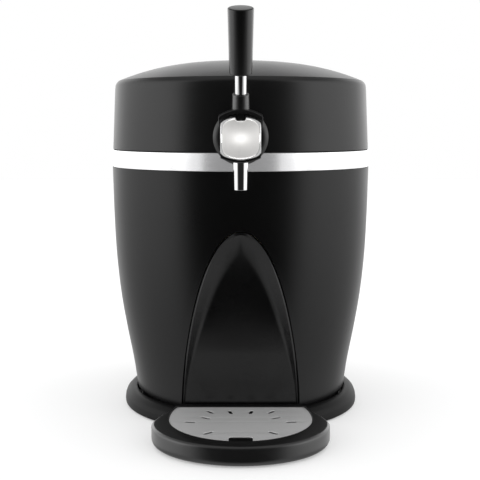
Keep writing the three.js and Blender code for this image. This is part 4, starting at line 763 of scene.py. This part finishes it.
def notchedShell(profile, notch):
    # The profile goes round the axis. Under the notch's arch its rows start where the arch stands, so the
    # first angle is asin(arch half width / radius)
    radius, level = profile[:, 0, None], profile[:, 1, None]
    above = np.clip(level - lid["notchCentre"], 0, None)
    arch = np.sqrt(np.clip(notch ** 2 - above ** 2, 0, None))
    first = np.arcsin(np.clip(arch / np.maximum(radius, 1), 0, 1))
    angles = first + (math.pi - first) * np.linspace(0, 1, lid["columns"]) ** lid["columnCrowd"]
    return bothSides(roundAxis(radius, angles, level), gridFaces(len(profile), lid["columns"]))


def wallLevels(low, high, notch):
    # Rows stand evenly below and above the notch's arch, and close up towards its top
    centre = lid["notchCentre"]
    below, across, above = lid["wallRows"]
    straight = np.linspace(low, centre, below)[:-1]
    arch = centre + notch * np.sin(np.linspace(0, 1, across) * quarter)
    return np.concatenate([straight, arch, np.linspace(centre + notch, high, above)[1:]])


def makeLid():
    levels = wallLevels(lid["foot"], lid["wallTop"], lid["notch"])
    radius = np.interp(levels, picked(lid, "foot wallTop"), picked(lid, "footRadius wallRadius"))
    wall = together(radius, levels)
    crease = [lid["creaseRadius"], domeLevel(lid["creaseRadius"])]
    corner = [lid["wallRadius"] - lid["shoulderIn"], crease[1] - lid["shoulderDown"]]
    bend = [wall[-1], corner, crease]
    shoulder = filleted(bend, lid["shoulderRound"], steps=12, closed=False)
    radii = lid["creaseRadius"] * (1 - np.linspace(0, 1, lid["domeRows"])[1:] ** lid["domeCrowd"])
    profile = np.vstack([wall, shoulder[1:], together(radii, domeLevel(radii))])
    buildPiece(
        "lid_cover", notchedShell(profile, lid["notch"]), lidSatin, "lid", ["lid_shell"],
        wall=lid["wall"], bevel=lid["edge"], sharp=18,
    )


def makeLidLiner():
    notch = lid["notch"] + lid["notchGap"]
    low, outer = liner["foot"], liner["footRadius"]
    levels = wallLevels(low + liner["wall"], liner["top"] - liner["drop"], notch)
    wall = together(liner["radius"], levels)
    flange = [[liner["flange"], low], [outer, low], [outer, low + liner["footHigh"]]]
    edge = liner["radius"] - liner["inset"]
    radii = edge * (1 - np.linspace(0, 1, liner["domeRows"]))
    dome = together(radii, liner["top"] + liner["dome"] * (1 - (radii / edge) ** 2))
    buildPiece(
        "lid_lining", notchedShell(np.vstack([flange, wall, dome]), notch), blackInner,
        "lid", ["lid_liner"], wall=liner["wall"], bevel=liner["edge"],
    )


def makeSeal():
    inner, outer, low, top, taper = picked(seal, "inner outer low top taper")
    gap = math.asin((lid["notch"] + lid["notchGap"]) * 2 / (inner + outer))
    corners = [[inner, low], [outer, low], [outer - taper, top], [inner + taper, top]]
    shape = revolved(filleted(corners, seal["rounds"]), seal["columns"], gap, fullTurn - 2 * gap)
    shape = cappedEnds(shape, seal["columns"])
    buildPiece("lid_gasket", shape, sealRubber, "housing", ["lid_seal"])


# Tap: a disc on the lid's notch, a neck and barb behind it, and a head whose slot the lever swings in
tap = {
    "pivotReach": 150.5, "pivotZ": 289.2, "neckRadius": 15.5, "neckZ": 288.5, "neckRear": 104.0,
    "escutcheonRadius": 25.7, "escutcheonZ": 286.3, "escutcheonBack": 136.2, "escutcheonThick": 4.0,
    "escutcheonEdge": [
        [1, 0.15], [0.985, 0.26], [0.96, 0.38], [0.92, 0.55], [0.87, 0.72], [0.81, 0.86], [0.75, 0.95],
        [0.68, 1],
    ],
    "drum": 19.5, "crown": 4.5, "half": 18.2, "chinLow": 263.2, "chinRise": 4.5, "chinRound": 1.6,
    "front": 160.0, "sink": 2.0, "plateGap": 0.3, "edge": 0.45,
    "slotHalf": 4.0, "slotRear": 144.0, "slotFloor": 276.5, "webFront": 9.5, "webStep": 3.0, "webIn": 1.0,
    "webDrop": 5.0, "webRounds": [0, 1.6, 2, 1, 0.3, 1, 0.5, 0],
    "barbReach": 110.0, "barbZ": 280.0, "barbRadius": 3.0, "barbBore": 1.6, "barbRoot": 10.0, "barbEnd": 23.5,
    "barbBoreRoot": 12.0, "barbTip": 2.5, "barbShow": 1.2, "barbTeeth": 3, "barbPitch": 2.1,
    "barbTooth": [[0, -0.35], [0.3, 0], [1.9, -0.35]], "neckSink": 1.0, "neckRounds": [0, 0.8, 0, 0],
    "drumPoints": 48, "cheekStations": 14, "webStations": 5,
}
face = {
    "half": 18.4, "top": 305.0, "low": 266.0, "arch": 4.5, "reach": 171.2, "crownUp": 9.2,
    "crownAcross": 5.2, "thick": 2.2, "notchHalf": 4.8, "notchZ": 306.2, "notchPower": 4, "dipFrom": 0.45,
    "power": 11.0, "fieldPower": 4.6, "fieldRings": 24, "fieldShare": 0.88, "fieldDepth": 0.9,
    "centreShare": 0.02, "points": 360, "backShares": [1.0, 0.9, 0.02],
    # Share of the outline, depth behind the rim, and squareness
    "rimRings": [
        (0.89, 0.84, 0.08), (0.9, 0.66, 0.16), (0.915, 0.36, 0.32), (0.935, 0.12, 0.55), (0.955, 0.02, 0.78),
        (0.972, 0.1, 0.92), (0.986, 0.32, 1), (0.996, 0.7, 1), (1.0, 1.2, 1),
    ],
}
spout = {
    "reach": 152.6, "bore": 4.4, "radius": 6.8, "tipRadius": 6.3, "tip": 238.6, "taperTop": 266.0,
    "top": 272.0, "rounds": [0.3, 0.35, 8, 0.2, 0.2],
}


def faceReach(x, z):
    # A plate crowned both ways: reach falls with the square of the rise and of the side
    middle = (face["top"] + face["low"]) / 2
    rise = (z - middle) / ((face["top"] - face["low"]) / 2)
    return face["reach"] - face["crownUp"] * rise ** 2 - face["crownAcross"] * (x / face["half"]) ** 2


def headRadius(x):
    # Radius = drum - crown (x / half) ^ 2
    return tap["drum"] - tap["crown"] * (x / tap["half"]) ** 2


def headLoop(x):
    # Side outline at a station: chin front, drum about the pivot, back at the escutcheon
    share = (x / tap["half"]) ** 2
    radius = headRadius(x)
    low, back = tap["chinLow"] + tap["chinRise"] * share, tap["escutcheonBack"] + tap["sink"]
    start = -math.acos(min((tap["front"] - tap["pivotReach"]) / radius, 1))
    turn = np.linspace(start, math.acos((back - tap["pivotReach"]) / radius), tap["drumPoints"])
    reach, z = tap["pivotReach"] + radius * np.cos(turn), tap["pivotZ"] + radius * np.sin(turn)
    behindPlate = faceReach(x, z) - face["thick"] - tap["plateGap"]
    underTop = z < face["top"] + tap["plateGap"] - face["arch"] * share
    reach = np.where(underTop, np.minimum(reach, behindPlate), reach)
    corners = [[back, low], [tap["front"], low], [tap["front"], z[0]]]
    chin = filleted(corners, [0, tap["chinRound"], 0], steps=6, closed=False)
    return np.vstack([chin[:-1], together(reach, z)])


def webLoop(x):
    # Between the cheeks the lever's slot leaves the chin and the rear of the drum
    low, radius = headLoop(x)[0, 1], headRadius(x)
    front, back, rear = tap["front"], tap["escutcheonBack"] + tap["sink"], tap["slotRear"]
    floor = tap["slotFloor"]
    behindPlate = faceReach(x, floor) - face["thick"] - tap["plateGap"]
    ahead = min(behindPlate, tap["pivotReach"] + radius) - tap["webIn"]
    rearZ = tap["pivotZ"] + math.sqrt(radius ** 2 - (rear - tap["pivotReach"]) ** 2)
    return filleted([
        [back, low], [front, low], [front, low + tap["webFront"]], [ahead, floor - tap["webStep"]],
        [ahead, floor], [rear, floor], [rear, rearZ], [back, rearZ - tap["webDrop"]],
    ], tap["webRounds"], steps=4)


def headBody(makeLoop, left, right, count):
    return lofted([atSide(makeLoop(x), x) for x in np.linspace(left, right, count)])


def hoseBarb():
    radius, root, end, bore = picked(tap, "barbRadius barbRoot barbEnd barbBore")
    profile = [[0, root], [radius, root]]
    for i in range(tap["barbTeeth"]):
        tooth = tap["neckRadius"] + tap["barbShow"] + i * tap["barbPitch"]
        profile += [[radius + more, tooth + along] for along, more in tap["barbTooth"]]
    profile += [[tap["barbTip"], end], [bore, end], [bore, tap["barbBoreRoot"]], [0, tap["barbBoreRoot"]]]
    barb = reordered(revolved(profile, turns=32), [2, 1, 0])
    return moved(barb, y=-tap["barbReach"], z=tap["barbZ"])


def makeTapBody():
    back, thick, wide = picked(tap, "escutcheonBack escutcheonThick escutcheonRadius")
    rolled = np.array(tap["escutcheonEdge"]) * [wide, thick] + [0, back]
    disc = revolved(np.vstack([[[0, back], [wide, back]], rolled, [[0, back + thick]]]), turns=128)
    rear, radius, end = tap["neckRear"], tap["neckRadius"], back + thick - tap["neckSink"]
    neck = turned([[0, rear], [radius, rear], [radius, end], [0, end]], tap["neckRounds"], turns=96, steps=4)
    disc, neck = (reordered(shape, [0, 2, 1], (1, -1, 1)) for shape in (disc, neck))
    half, slot, count = tap["half"], tap["slotHalf"], tap["cheekStations"]
    shape = joined([
        moved(disc, z=tap["escutcheonZ"]), moved(neck, z=tap["neckZ"]), hoseBarb(),
        headBody(headLoop, -half, -slot, count), headBody(headLoop, slot, half, count),
        headBody(webLoop, -slot, slot, tap["webStations"]),
    ])
    buildPiece(
        "tap_housing", shape, blackGloss, "housing", ["tap_body"], bevel=tap["edge"],
        sharp=30,
    )


def makeFace():
    # Rings from the centre out: a field, a raised and bevelled rim that is squarer than the field, the edge
    # and the back
    turn = np.linspace(0, fullTurn, face["points"], endpoint=False)
    ways = np.cos(turn), np.sin(turn)

    def squared(power):
        size = (np.abs(ways[0]) ** power + np.abs(ways[1]) ** power) ** (1 / power)
        return [way / size for way in ways]

    field = np.linspace(face["centreShare"], face["fieldShare"], face["fieldRings"])
    rings = [(share, face["fieldDepth"], 0) for share in field] + face["rimRings"]
    rings += [(share, face["thick"], 1) for share in face["backShares"]]
    loops = []
    inside, outside = squared(face["fieldPower"]), squared(face["power"])
    notchPower, notchHalf = face["notchPower"], face["notchHalf"]
    for share, depth, square in rings:
        a, b = [soft * (1 - square) + hard * square for soft, hard in zip(inside, outside)]
        x = face["half"] * a * share
        up = b * share
        arch = face["arch"] * (x / face["half"]) ** 2
        top, low = face["top"] - arch, face["low"] + arch
        cut = np.clip(notchHalf ** notchPower - x ** notchPower, 0, None) ** (1 / notchPower)
        dip = np.where(np.abs(x) < notchHalf, np.clip(top - face["notchZ"] + cut, 0, None), 0)
        ease = np.clip((up - face["dipFrom"]) / (1 - face["dipFrom"]), 0, 1) ** 2
        z = low + (top - low) * (up + 1) / 2 - dip * ease
        loops.append(together(x, depth - faceReach(x, z), z))
    piece = buildPiece(
        "tap_face_plate", lofted(loops), satinChrome, "housing", ["tap_face"], sharp=50,
    )
    piece.data.materials.append(rimChrome)
    firstBright = (face["fieldRings"] + 1) * face["points"]
    for polygon in piece.data.polygons:
        if min(polygon.vertices) >= firstBright:
            polygon.material_index = 1
    return piece


def makeSpout():
    bore, radius, tip, top = picked(spout, "bore radius tip top")
    shape = moved(turned([
        [bore, tip], [spout["tipRadius"], tip], [radius, spout["taperTop"]], [radius, top], [bore, top],
    ], spout["rounds"], turns=96), y=-spout["reach"])
    return buildPiece("spout_tube", shape, chromed, "housing", ["spout"])


# Lever, drawn about the pivot and leaned forward: hood and blade, then collar, stem and grip on one axis
lever = {
    "lean": 18.2, "half": 20.0, "radius": 23.5, "thick": 3.0, "cheek": 1.2, "crown": 6.0, "skirt": 6.5,
    "back": 9.6, "front": 8.6, "bladeHalf": 3.0, "bladeDepth": 3.6, "bladeSink": 1.0, "eye": 5.5,
    "finger": 2.5, "drop": 9.2, "edge": 0.35,
    "collarRoot": -1.0, "collarFoot": 8.2, "collarWaist": 8.0, "collarWaistHigh": 2.2, "collarTop": 7.6,
    "collarLength": 15.0, "collarRounds": [0, 0.3, 2.4, 0.8, 0.4, 0.3, 0],
    "stemRadius": 5.55, "stemShow": 18.5, "stemLow": 3.3, "boreLow": 4.0, "gap": 0.3, "stemRound": 0.4,
    "gripFoot": 10.3, "gripTop": 11.6, "gripLength": 58.3, "gripBore": 24.0,
    "gripRounds": [0.4, 1.1, 1.5, 0, 0, 0.3],
    "outPoints": 48, "inPoints": 40, "hoodRows": 22, "eyePoints": 16, "tipPoints": 14,
}
stemBore = lever["stemRadius"] + lever["gap"]
gripLow = lever["collarLength"] + lever["stemShow"]


def leaned(shape):
    # Points drawn along the collar's axis are tipped forward and moved to the pivot
    points, faces = shape
    angle = math.radians(lever["lean"])
    x, y, z = points.T
    tippedY = y * math.cos(angle) - z * math.sin(angle)
    tippedZ = y * math.sin(angle) + z * math.cos(angle)
    collarZ = tap["pivotZ"] + lever["radius"] - lever["thick"] / 2
    return together(x, tippedY - tap["pivotReach"], tippedZ + collarZ), faces


def hoodShell():
    # An upturned U across, carried front to back: height = root(radius at x ^ 2 - y ^ 2)
    half, skirt, radius, crown = picked(lever, "half skirt radius crown")
    inner = half - lever["cheek"]
    outX = np.linspace(-half, half, lever["outPoints"])
    inX = np.linspace(inner, -inner, lever["inPoints"])
    outR = radius - crown * (outX / half) ** 2
    inR = radius - lever["thick"] - crown * (inX / inner) ** 2
    x = np.concatenate([[-half], outX, [half, inner], inX, [-inner]])
    loops = []
    for y in np.linspace(-lever["front"], lever["back"], lever["hoodRows"]):
        outZ, inZ = np.sqrt(outR ** 2 - y ** 2), np.sqrt(inR ** 2 - y ** 2)
        z = np.concatenate([[skirt], outZ, [skirt, skirt], inZ, [skirt]])
        loops.append(together(x, y, z))
    return lofted(loops)


def leverBlade():
    # Eye, upright blade and finger in one outline, seen from the side
    eye, deep, finger, half = picked(lever, "eye bladeDepth finger bladeHalf")
    top = lever["radius"] - lever["bladeSink"]
    right = np.linspace(-math.acos(finger / eye), math.acos(deep / eye), lever["eyePoints"])
    tip = [0, -lever["drop"]] + arc(finger, np.linspace(math.pi, fullTurn, lever["tipPoints"]))
    left = arc(eye, math.pi - right[::-1])
    outline = np.vstack([tip, arc(eye, right), [[deep, top], [-deep, top]], left])
    return lofted([together(x, outline[:, 0], outline[:, 1]) for x in (-half, half)])


def makeLeverHub():
    root, length, low = lever["collarRoot"], lever["collarLength"], lever["boreLow"]
    collar = turned([
        [0, root], [lever["collarFoot"], root], [lever["collarWaist"], lever["collarWaistHigh"]],
        [lever["collarTop"], length], [stemBore, length], [stemBore, low], [0, low],
    ], lever["collarRounds"], turns=96, steps=6)
    hood = moved(joined([hoodShell(), leverBlade()]), y=-tap["pivotReach"], z=tap["pivotZ"])
    return buildPiece(
        "lever_hood", joined([hood, leaned(collar)]), blackGloss, "lever", ["lever_hub"],
        bevel=lever["edge"], sharp=30,
    )


def makeStem():
    low, high = lever["stemLow"], gripLow + lever["gripBore"] - lever["gap"]
    radius, soft = lever["stemRadius"], lever["stemRound"]
    corners = [[0, low], [radius, low], [radius, high], [0, high]]
    shape = leaned(turned(corners, [0, soft, soft, 0], turns=96))
    return buildPiece("lever_rod", shape, chromed, "lever", ["lever_stem"])


def makeGrip():
    high, boreTop = gripLow + lever["gripLength"], gripLow + lever["gripBore"]
    shape = leaned(turned([
        [stemBore, gripLow], [lever["gripFoot"], gripLow], [lever["gripTop"], high], [0, high],
        [0, boreTop], [stemBore, boreTop],
    ], lever["gripRounds"], turns=128, steps=7))
    return buildPiece("lever_grip", shape, blackSatin, "lever", ["tap_handle"])


# Valve spring, beer line and the coupler that it ends in
valve = {
    "rear": 133.85, "front": 144.55, "radius": 3.3, "wire": 0.55, "turns": 5, "z": 280.0, "stepsPerTurn": 40,
    "wireSides": 10, "keep": 0.62,
}
line = {
    "radius": 4.8, "bore": 3.6, "sides": 32, "startAngle": 22.0, "endAngle": 58.0, "steps": 4, "arc": 108.0,
    "rest": 276.8, "tapX": 16.1, "tapZ": 280.0, "portZ": 285.5, "port": 8.0, "portGap": 0.3,
}
coupler = {
    "angle": 74.0, "radius": 10.5, "foot": 272.3,
    "section": [
        [0, 0], [6.5, 0], [6.5, 7], [10.5, 7.6], [10.5, 12], [9.9, 12.6], [9.9, 13.6], [10.5, 14.2],
        [10.5, 24.6], [8.4, 26], [0, 26],
    ],
    "rounds": [0, 0.5, 0.3, 0.6, 0.3, 0.2, 0.2, 0.3, 1.6, 1.2, 0],
    "stub": [[0, 8], [3, 8], [2.7, 11.5], [3.0, 11.9], [2.7, 14], [3.0, 14.4], [2.6, 18.5], [0, 18.5]],
}


def squareTo(path, out):
    # Unit vectors square to the path: the given one without its share along the path, and one across both
    ahead = normed(np.gradient(path, axis=0))
    out = normed(out - ahead * np.sum(out * ahead, axis=1)[:, None])
    return out, np.cross(ahead, out)


def spokes(first, second, sides):
    turn = np.linspace(0, fullTurn, sides, endpoint=False)[None, :, None]
    return first[:, None] * np.cos(turn) + second[:, None] * np.sin(turn)


def makeSpring():
    # A helix: its reach grows evenly with the angle, and its wire's rings stand square to it
    share = np.linspace(0, 1, valve["turns"] * valve["stepsPerTurn"] + 1)
    angle = share * valve["turns"] * fullTurn
    reach = valve["rear"] + (valve["front"] - valve["rear"]) * share
    out = together(np.cos(angle), 0, np.sin(angle))
    path = valve["radius"] * out + together(0, -reach, valve["z"])
    loops = path[:, None] + valve["wire"] * spokes(*squareTo(path, out), valve["wireSides"])
    coil = buildPiece(
        "valve_coil", lofted(loops), bareSteel, "housing", ["valve_spring"], sharp=60,
    )
    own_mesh(coil)


def arcPoint(degrees, z):
    return roundAxis(line["arc"], np.radians(degrees), z)


def hoseRoute():
    # From the barb it sags to the deck between two equal rises, then turns into the coupler's port
    angle = math.radians(coupler["angle"])
    port = arcPoint(coupler["angle"], line["portZ"])
    intoPort = np.array([math.cos(angle), math.sin(angle), 0])
    route = [[x, -tap["barbReach"], line["tapZ"]] for x in (line["tapX"], tap["barbEnd"])]
    for i in range(line["steps"] + 1):
        share = i / line["steps"]
        end = line["tapZ"] if share < 0.5 else line["portZ"]
        z = line["rest"] + (end - line["rest"]) * (share * 2 - 1) ** 2
        route.append(arcPoint(line["startAngle"] + (line["endAngle"] - line["startAngle"]) * share, z))
    route += [port - (coupler["radius"] + before) * intoPort for before in (line["port"], line["portGap"])]
    return smoothThrough(route, steps=12)


def makeHose():
    # Rings of the tube stand square to the path, and the bore's rings come back through it
    path = hoseRoute()
    up, across = squareTo(path, np.array([[0.0, 0.0, 1.0]]))
    spoke = spokes(across, up, line["sides"])
    outer, inner = (path[:, None] + line[name] * spoke for name in ("radius", "bore"))
    rings = np.concatenate([outer, inner[::-1]])
    shape = (rings.reshape(-1, 3), gridFaces(len(rings), line["sides"], True, True))
    hose = buildPiece(
        "beer_line_hose", shape, clearTube, "housing", ["beer_hose"], sharp=60,
    )


def makeCoupler():
    angle = math.radians(coupler["angle"])
    x, y, low = arcPoint(coupler["angle"], coupler["foot"])
    body = moved(turned(coupler["section"], coupler["rounds"], turns=64, steps=4), x, y, low)
    points, faces = revolved(coupler["stub"], turns=32)
    ahead = np.array([-math.cos(angle), -math.sin(angle), 0])
    side = np.array([math.sin(angle), -math.cos(angle), 0])
    points = points[:, 2:] * ahead + points[:, :1] * side + points[:, 1:2] * np.array([0, 0, 1])
    stub = moved((points, faces), x, y, line["portZ"])
    buildPiece(
        "keg_coupler_turned", joined([body, stub]), blackInner, "housing", ["keg_coupler"],
        sharp=35,
    )


# Rear housing: a box with rolled edges that runs forward onto the barrel, and a pierced rear face
rear = {
    "half": 58.0, "low": 34.0, "high": 238.0, "reach": 150.0, "wall": 2.5, "corner": 12.0, "edge": 4.0,
    "barrelGap": 0.4, "bevel": 0.4, "sideShares": [0.35, 0.7, 1.0], "parts": 6,
    "ventHalf": 34.0, "ventPitch": 8.0, "ventHeight": 3.6, "ventCount": 9, "ventZ": 150.0, "ventRound": 1.2,
    "powerZ": 60.0, "lamp": 3.3, "screwHole": 1.6, "screwX": 50.0, "screwLow": 46.0, "screwHigh": 226.0,
    "holePoints": 32,
    # Middle, half width, half height and corner of the holes for the socket and the switch
    "powerHoles": [[-28.0, 11.3, 7.8, 1.0], [28.0, 8.4, 11.7, 0.8]],
}
foot = {"section": [[0, 0], [8.6, 0], [9, 1.5], [8.4, 4], [0, 4]], "rounds": [0, 0.7, 1, 0.5, 0]}
screw = {
    "section": [
        [0, -10.8], [1.3, -10.8], [1.3, -1.8], [3.4, -1.8], [3.4, -0.9], [2.4, 0], [1.5, 0], [1.3, -1.1],
        [0, -1.1],
    ],
    "rounds": [0, 0.2, 0.1, 0.2, 0.5, 0.4, 0.1, 0.1, 0],
}


def coverLoop(inset):
    # Straight stretches get the same number of extra points on every loop
    half, low, high = rear["half"] - inset, rear["low"] + inset, rear["high"] - inset
    loop = boxLoop(-half, half, low, high, rear["corner"] - inset, steps=6)
    after = np.roll(loop, -1, axis=0)
    share = np.linspace(0, 1, rear["parts"], endpoint=False)[None, :, None]
    return (loop[:, None] * (1 - share) + after[:, None] * share).reshape(-1, 2)


def coverHoles():
    holes = []
    half, high = rear["ventHalf"], rear["ventHeight"] / 2
    for i in range(rear["ventCount"]):
        z = rear["ventZ"] + (i - (rear["ventCount"] - 1) / 2) * rear["ventPitch"]
        holes.append(boxLoop(-half, half, z - high, z + high, rear["ventRound"], steps=3))
    for x, half, high, corner in rear["powerHoles"]:
        z = rear["powerZ"]
        holes.append(boxLoop(x - half, x + half, z - high, z + high, corner, steps=3))
    circle = arc(1, np.linspace(0, fullTurn, rear["holePoints"], endpoint=False))
    holes.append(circle * rear["lamp"] + [0, rear["powerZ"]])
    for x in (-rear["screwX"], rear["screwX"]):
        holes += [circle * rear["screwHole"] + [x, z] for z in (rear["screwLow"], rear["screwHigh"])]
    return holes


def makeCover():
    # Each loop stands at a depth y behind the axis, and the last one follows the barrel's skin
    rollIn, rollOn = quarterRoll(rear["edge"], count=7)
    start = rear["reach"] - rear["edge"]
    outer = coverLoop(0)
    onBarrel = np.sqrt(barrelRadius(outer[:, 1]) ** 2 - outer[:, 0] ** 2) + rear["barrelGap"]
    rings = [(coverLoop(inset), rear["reach"] - on) for inset, on in zip(rollIn, rollOn)]
    rings += [(outer, start * (1 - share) + onBarrel * share) for share in rear["sideShares"]]
    loops = [together(loop[:, 0], y, loop[:, 1]) for loop, y in rings]
    sheet = [coverLoop(rear["edge"])] + coverHoles()
    x, z = np.vstack(sheet).T
    panel = (together(x, rear["reach"], z), filledBetween(sheet))
    buildPiece(
        "rear_housing", joined([lofted(loops, False), panel]), blackInner, "housing",
        ["rear_cover"], wall=rear["wall"], bevel=rear["bevel"], bevelSteps=2,
    )


def makeFeet():
    for name in ("foot_front_left", "foot_front_right", "foot_rear_left", "foot_rear_right"):
        low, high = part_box(name)
        x, y = (low.x + high.x) / 2 / mm, ((low.y + high.y) / 2 - axisY) / mm
        shape = moved(turned(foot["section"], foot["rounds"], turns=48, steps=4), x, y)
        buildPiece(name + "_pad", shape, sealRubber, "housing", [name])


def makeScrews():
    for number in range(1, 5):
        name = "cover_screw_%d" % number
        low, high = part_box(name)
        x, z = (low.x + high.x) / 2 / mm, (low.z + high.z) / 2 / mm
        shape = reordered(turned(screw["section"], screw["rounds"], turns=40, steps=3), [0, 2, 1])
        shape = moved(shape, x, (high.y - axisY) / mm, z)
        buildPiece(name + "_turned", shape, bareSteel, "housing", [name])


makeBarrel()
makeRecess()
makeRing()
band = makeBand()
makeRim()
makePot()
print("barrel and chamber built")
makeLid()
makeLidLiner()
makeSeal()
print("lid built")
makeTapBody()
plateFront = makeFace()
polished = [makeSpout(), makeStem()]
glossed = [makeLeverHub(), makeGrip()]
makeSpring()
makeHose()
makeCoupler()
print("tap and lever built")
trayTub = makeTray()
dripPlate = makePlate()
print("tray built")
makeCover()
makeFeet()
makeScrews()
for node, finish, body, slotName, width in (
    ("hinge_bracket", blackInner, "housing", "black_inner", 0.8),
    ("tap_cradle", blackInner, "housing", "black_inner", 0.5),
    ("coupler_dock", blackInner, "housing", "black_inner", 0.5),
    ("power_inlet", blackInner, "housing", "black_inner", 0.4),
    ("rocker_bezel", blackGloss, "housing", "black_satin", 0.3),
    ("heat_sink", castAluminium, "housing", "aluminium", 0.2),
    ("fan_frame", blackInner, "housing", "black_inner", 0.5),
    ("neck_plug", blackInner, "housing", "black_inner", 0.4),
    ("hinge_leaf", blackInner, "lid", "black_inner", 0.6),
    ("power_rocker", blackGloss, "rocker", "black_satin", 0.4),
    ("status_lens", lampRed, "housing", "lamp_red", 0.3),
):
    softenedCopy(node, finish, body, width)
print("rear housing built")

# What keeps its own mesh gets its finish by the record's slot
slotFinish = {
    "black_satin": blackSatin, "black_inner": blackInner, "chromed": chromed, "stainless": stainless,
    "bare_steel": bareSteel, "aluminium": castAluminium, "foam": foam, "seal_rubber": sealRubber,
    "clear_tube": clearTube, "ceramic": ceramic, "board": board, "lamp_red": lampRed,
}
nodeSlot = {entry["node"]: entry["material_slot"] for entry in frame["record"]["subparts"]}
for name, node in frame["nodes"].items():
    node.data.materials.clear()
    node.data.materials.append(slotFinish[nodeSlot.get(name, "black_inner")])

# Camera, as fitted to the photograph: distance in front of the barrel's axis, in metres
view = {"lens": 71.25, "sensor": 36, "side": -0.00064, "distance": 1.0186, "height": 0.299, "pitch": 7.0}
cameraData = bpy.data.cameras.new("camera")
cameraData.lens = view["lens"]
cameraData.sensor_width = view["sensor"]
camera = bpy.data.objects.new("camera", cameraData)
camera.location = (view["side"], axisY - view["distance"], view["height"])
camera.rotation_euler = (math.radians(90 - view["pitch"]), 0, 0)
bpy.context.scene.collection.objects.link(camera)
bpy.context.scene.camera = camera

# Studio: the world is dim in front and bright at the sides, darker behind with a lighter patch straight
# back, brightest about the horizon, and the camera sees it white. A ramp is from, to, and the two values
studio = {
    "floor": 0.9, "floorHalf": 4.0, "patchScale": 3, "patchDetail": 2, "patchDark": 0.99, "seen": 1.0,
    "front": 0.02, "side": 1.06, "dimAngle": 41.0, "brightAngle": 62.0,
    "rear": (-0.55, 0.2, 0.34, 0), "behind": (-0.85, -0.6, 0.25, 0), "ground": (-0.5, -0.06, 0.52, 0.92),
    "horizon": (-0.08, 0.04, 0, 0.5), "above": (0.12, 0.4, 0, 0.38), "overhead": (0.48, 0.68, 0, 0.66),
    "sky": (0.06, 0.55, 0, 0.1),
}


def makeFloor():
    half = studio["floorHalf"]
    corners = [(-half, -half, 0), (half, -half, 0), (half, half, 0), (-half, half, 0)]
    mesh = bpy.data.meshes.new("studio_floor")
    mesh.from_pydata(corners, [], [(0, 1, 2, 3)])
    floor = bpy.data.objects.new("studio_floor", mesh)
    bpy.context.scene.collection.objects.link(floor)

    def pattern(place):
        patches = place.noise(studio["patchScale"], studio["patchDetail"])
        light = studio["floor"]
        return {"Base Color": patches.tint(grey(light * studio["patchDark"]), grey(light))}

    mesh.materials.append(newFinish("paleFloor", pattern, Roughness=0.7, Specular_IOR_Level=0.1))
    floor.visible_glossy = False
    return floor


def makeWorld():
    world = bpy.data.worlds.new("studio")
    bpy.context.scene.world = world
    world.use_nodes = True
    tree = world.node_tree
    tree.nodes.clear()
    out = tree.nodes.new("ShaderNodeOutputWorld")
    start = Wire(tree, tree.nodes.new("ShaderNodeTexCoord").outputs["Generated"])
    way = start.node("ShaderNodeVectorMath", {"operation": "NORMALIZE"}, {0: start})
    ahead = way.node("ShaderNodeSeparateXYZ", {}, {0: way}, "Y") * -1.0
    rise = way.node("ShaderNodeSeparateXYZ", {}, {0: way}, "Z")
    bright, dim = (math.cos(math.radians(studio[name])) for name in ("brightAngle", "dimAngle"))
    light = ahead.between(bright, dim, studio["side"], studio["front"], "SMOOTHSTEP")
    light = light - ahead.between(*studio["rear"]) + ahead.between(*studio["behind"])
    ground, horizon, above, overhead, sky = (
        rise.between(*studio[name]) for name in ("ground", "horizon", "above", "overhead", "sky")
    )
    light = light * (ground + horizon - (above + overhead)) + sky
    seen = Wire(tree, tree.nodes.new("ShaderNodeLightPath").outputs["Is Camera Ray"])
    strength = seen.node("ShaderNodeMix", {"data_type": "FLOAT"}, {0: seen, 2: light, 3: studio["seen"]})
    background = strength.node("ShaderNodeBackground", {}, {"Color": (1, 1, 1, 1), "Strength": strength})
    tree.links.new(background.socket, out.inputs["Surface"])


def screen(name, place, target, size, radiance, lit):
    # Power = pi radiance area. The panel lights only the pieces in lit, whatever stands in between
    data = bpy.data.lights.new(name, "AREA")
    data.shape = "RECTANGLE"
    data.size, data.size_y = size
    data.energy = radiance * math.pi * size[0] * size[1]
    data.use_shadow = False
    lamp = bpy.data.objects.new(name, data)
    lamp.location = place
    lamp.rotation_euler = (Vector(target) - Vector(place)).to_track_quat("-Z", "Y").to_euler()
    bpy.context.scene.collection.objects.link(lamp)
    lamp.visible_camera = False
    group = bpy.data.collections.new(name + "Lit")
    for piece in lit:
        group.objects.link(piece)
    lamp.light_linking.receiver_collection = group


floor = makeFloor()
makeWorld()
# Screens: place, what they face, width and height, all in metres, then radiance and the pieces they light
aloft, base, waist, wide = (0, 0, 3), (0, 0, 0), (0, 0, 0.26), (14, 14)
screens = {
    "floorLight": (aloft, base, wide, 0.82, [floor]),
    "dripLight": (aloft, base, wide, 0.62, [dripPlate]),
    "trayBack": ((0, 2, 0.7), (0, -0.15, 0), (4, 1.2), 0.4, [trayTub]),
    "frontScreen": ((0, -1.7, 0.2), waist, (2.5, 2), 0.29, [band]),
    "plateScreen": ((0, -1.2, 0.27), (0, 0, 0.27), (2.6, 2.6), 0.3, [plateFront]),
    "plateKey": ((0, -1.19, 0.27), (0, 0, 0.28), (0.8, 0.8), 2.6, [plateFront]),
}
for side, way in (("left", -1), ("right", 1)):
    beside = ((1.5 * way, 0.5, 0.3), (0, -0.1, 0.3), (3.2, 2))
    screens[side + "Screen"] = ((1.4 * way, -1.43, 0.2), waist, (0.82, 2), 0.85, [band])
    screens[side + "MetalSide"] = (*beside, 0.5, polished + [band])
    screens[side + "GlossSide"] = (*beside, 1.1, glossed)
    screens[side + "TraySide"] = (*beside, 0.4, [trayTub])
for name, values in screens.items():
    screen(name, *values)
bpy.context.scene.view_settings.view_transform = "Standard"
print("studio set")
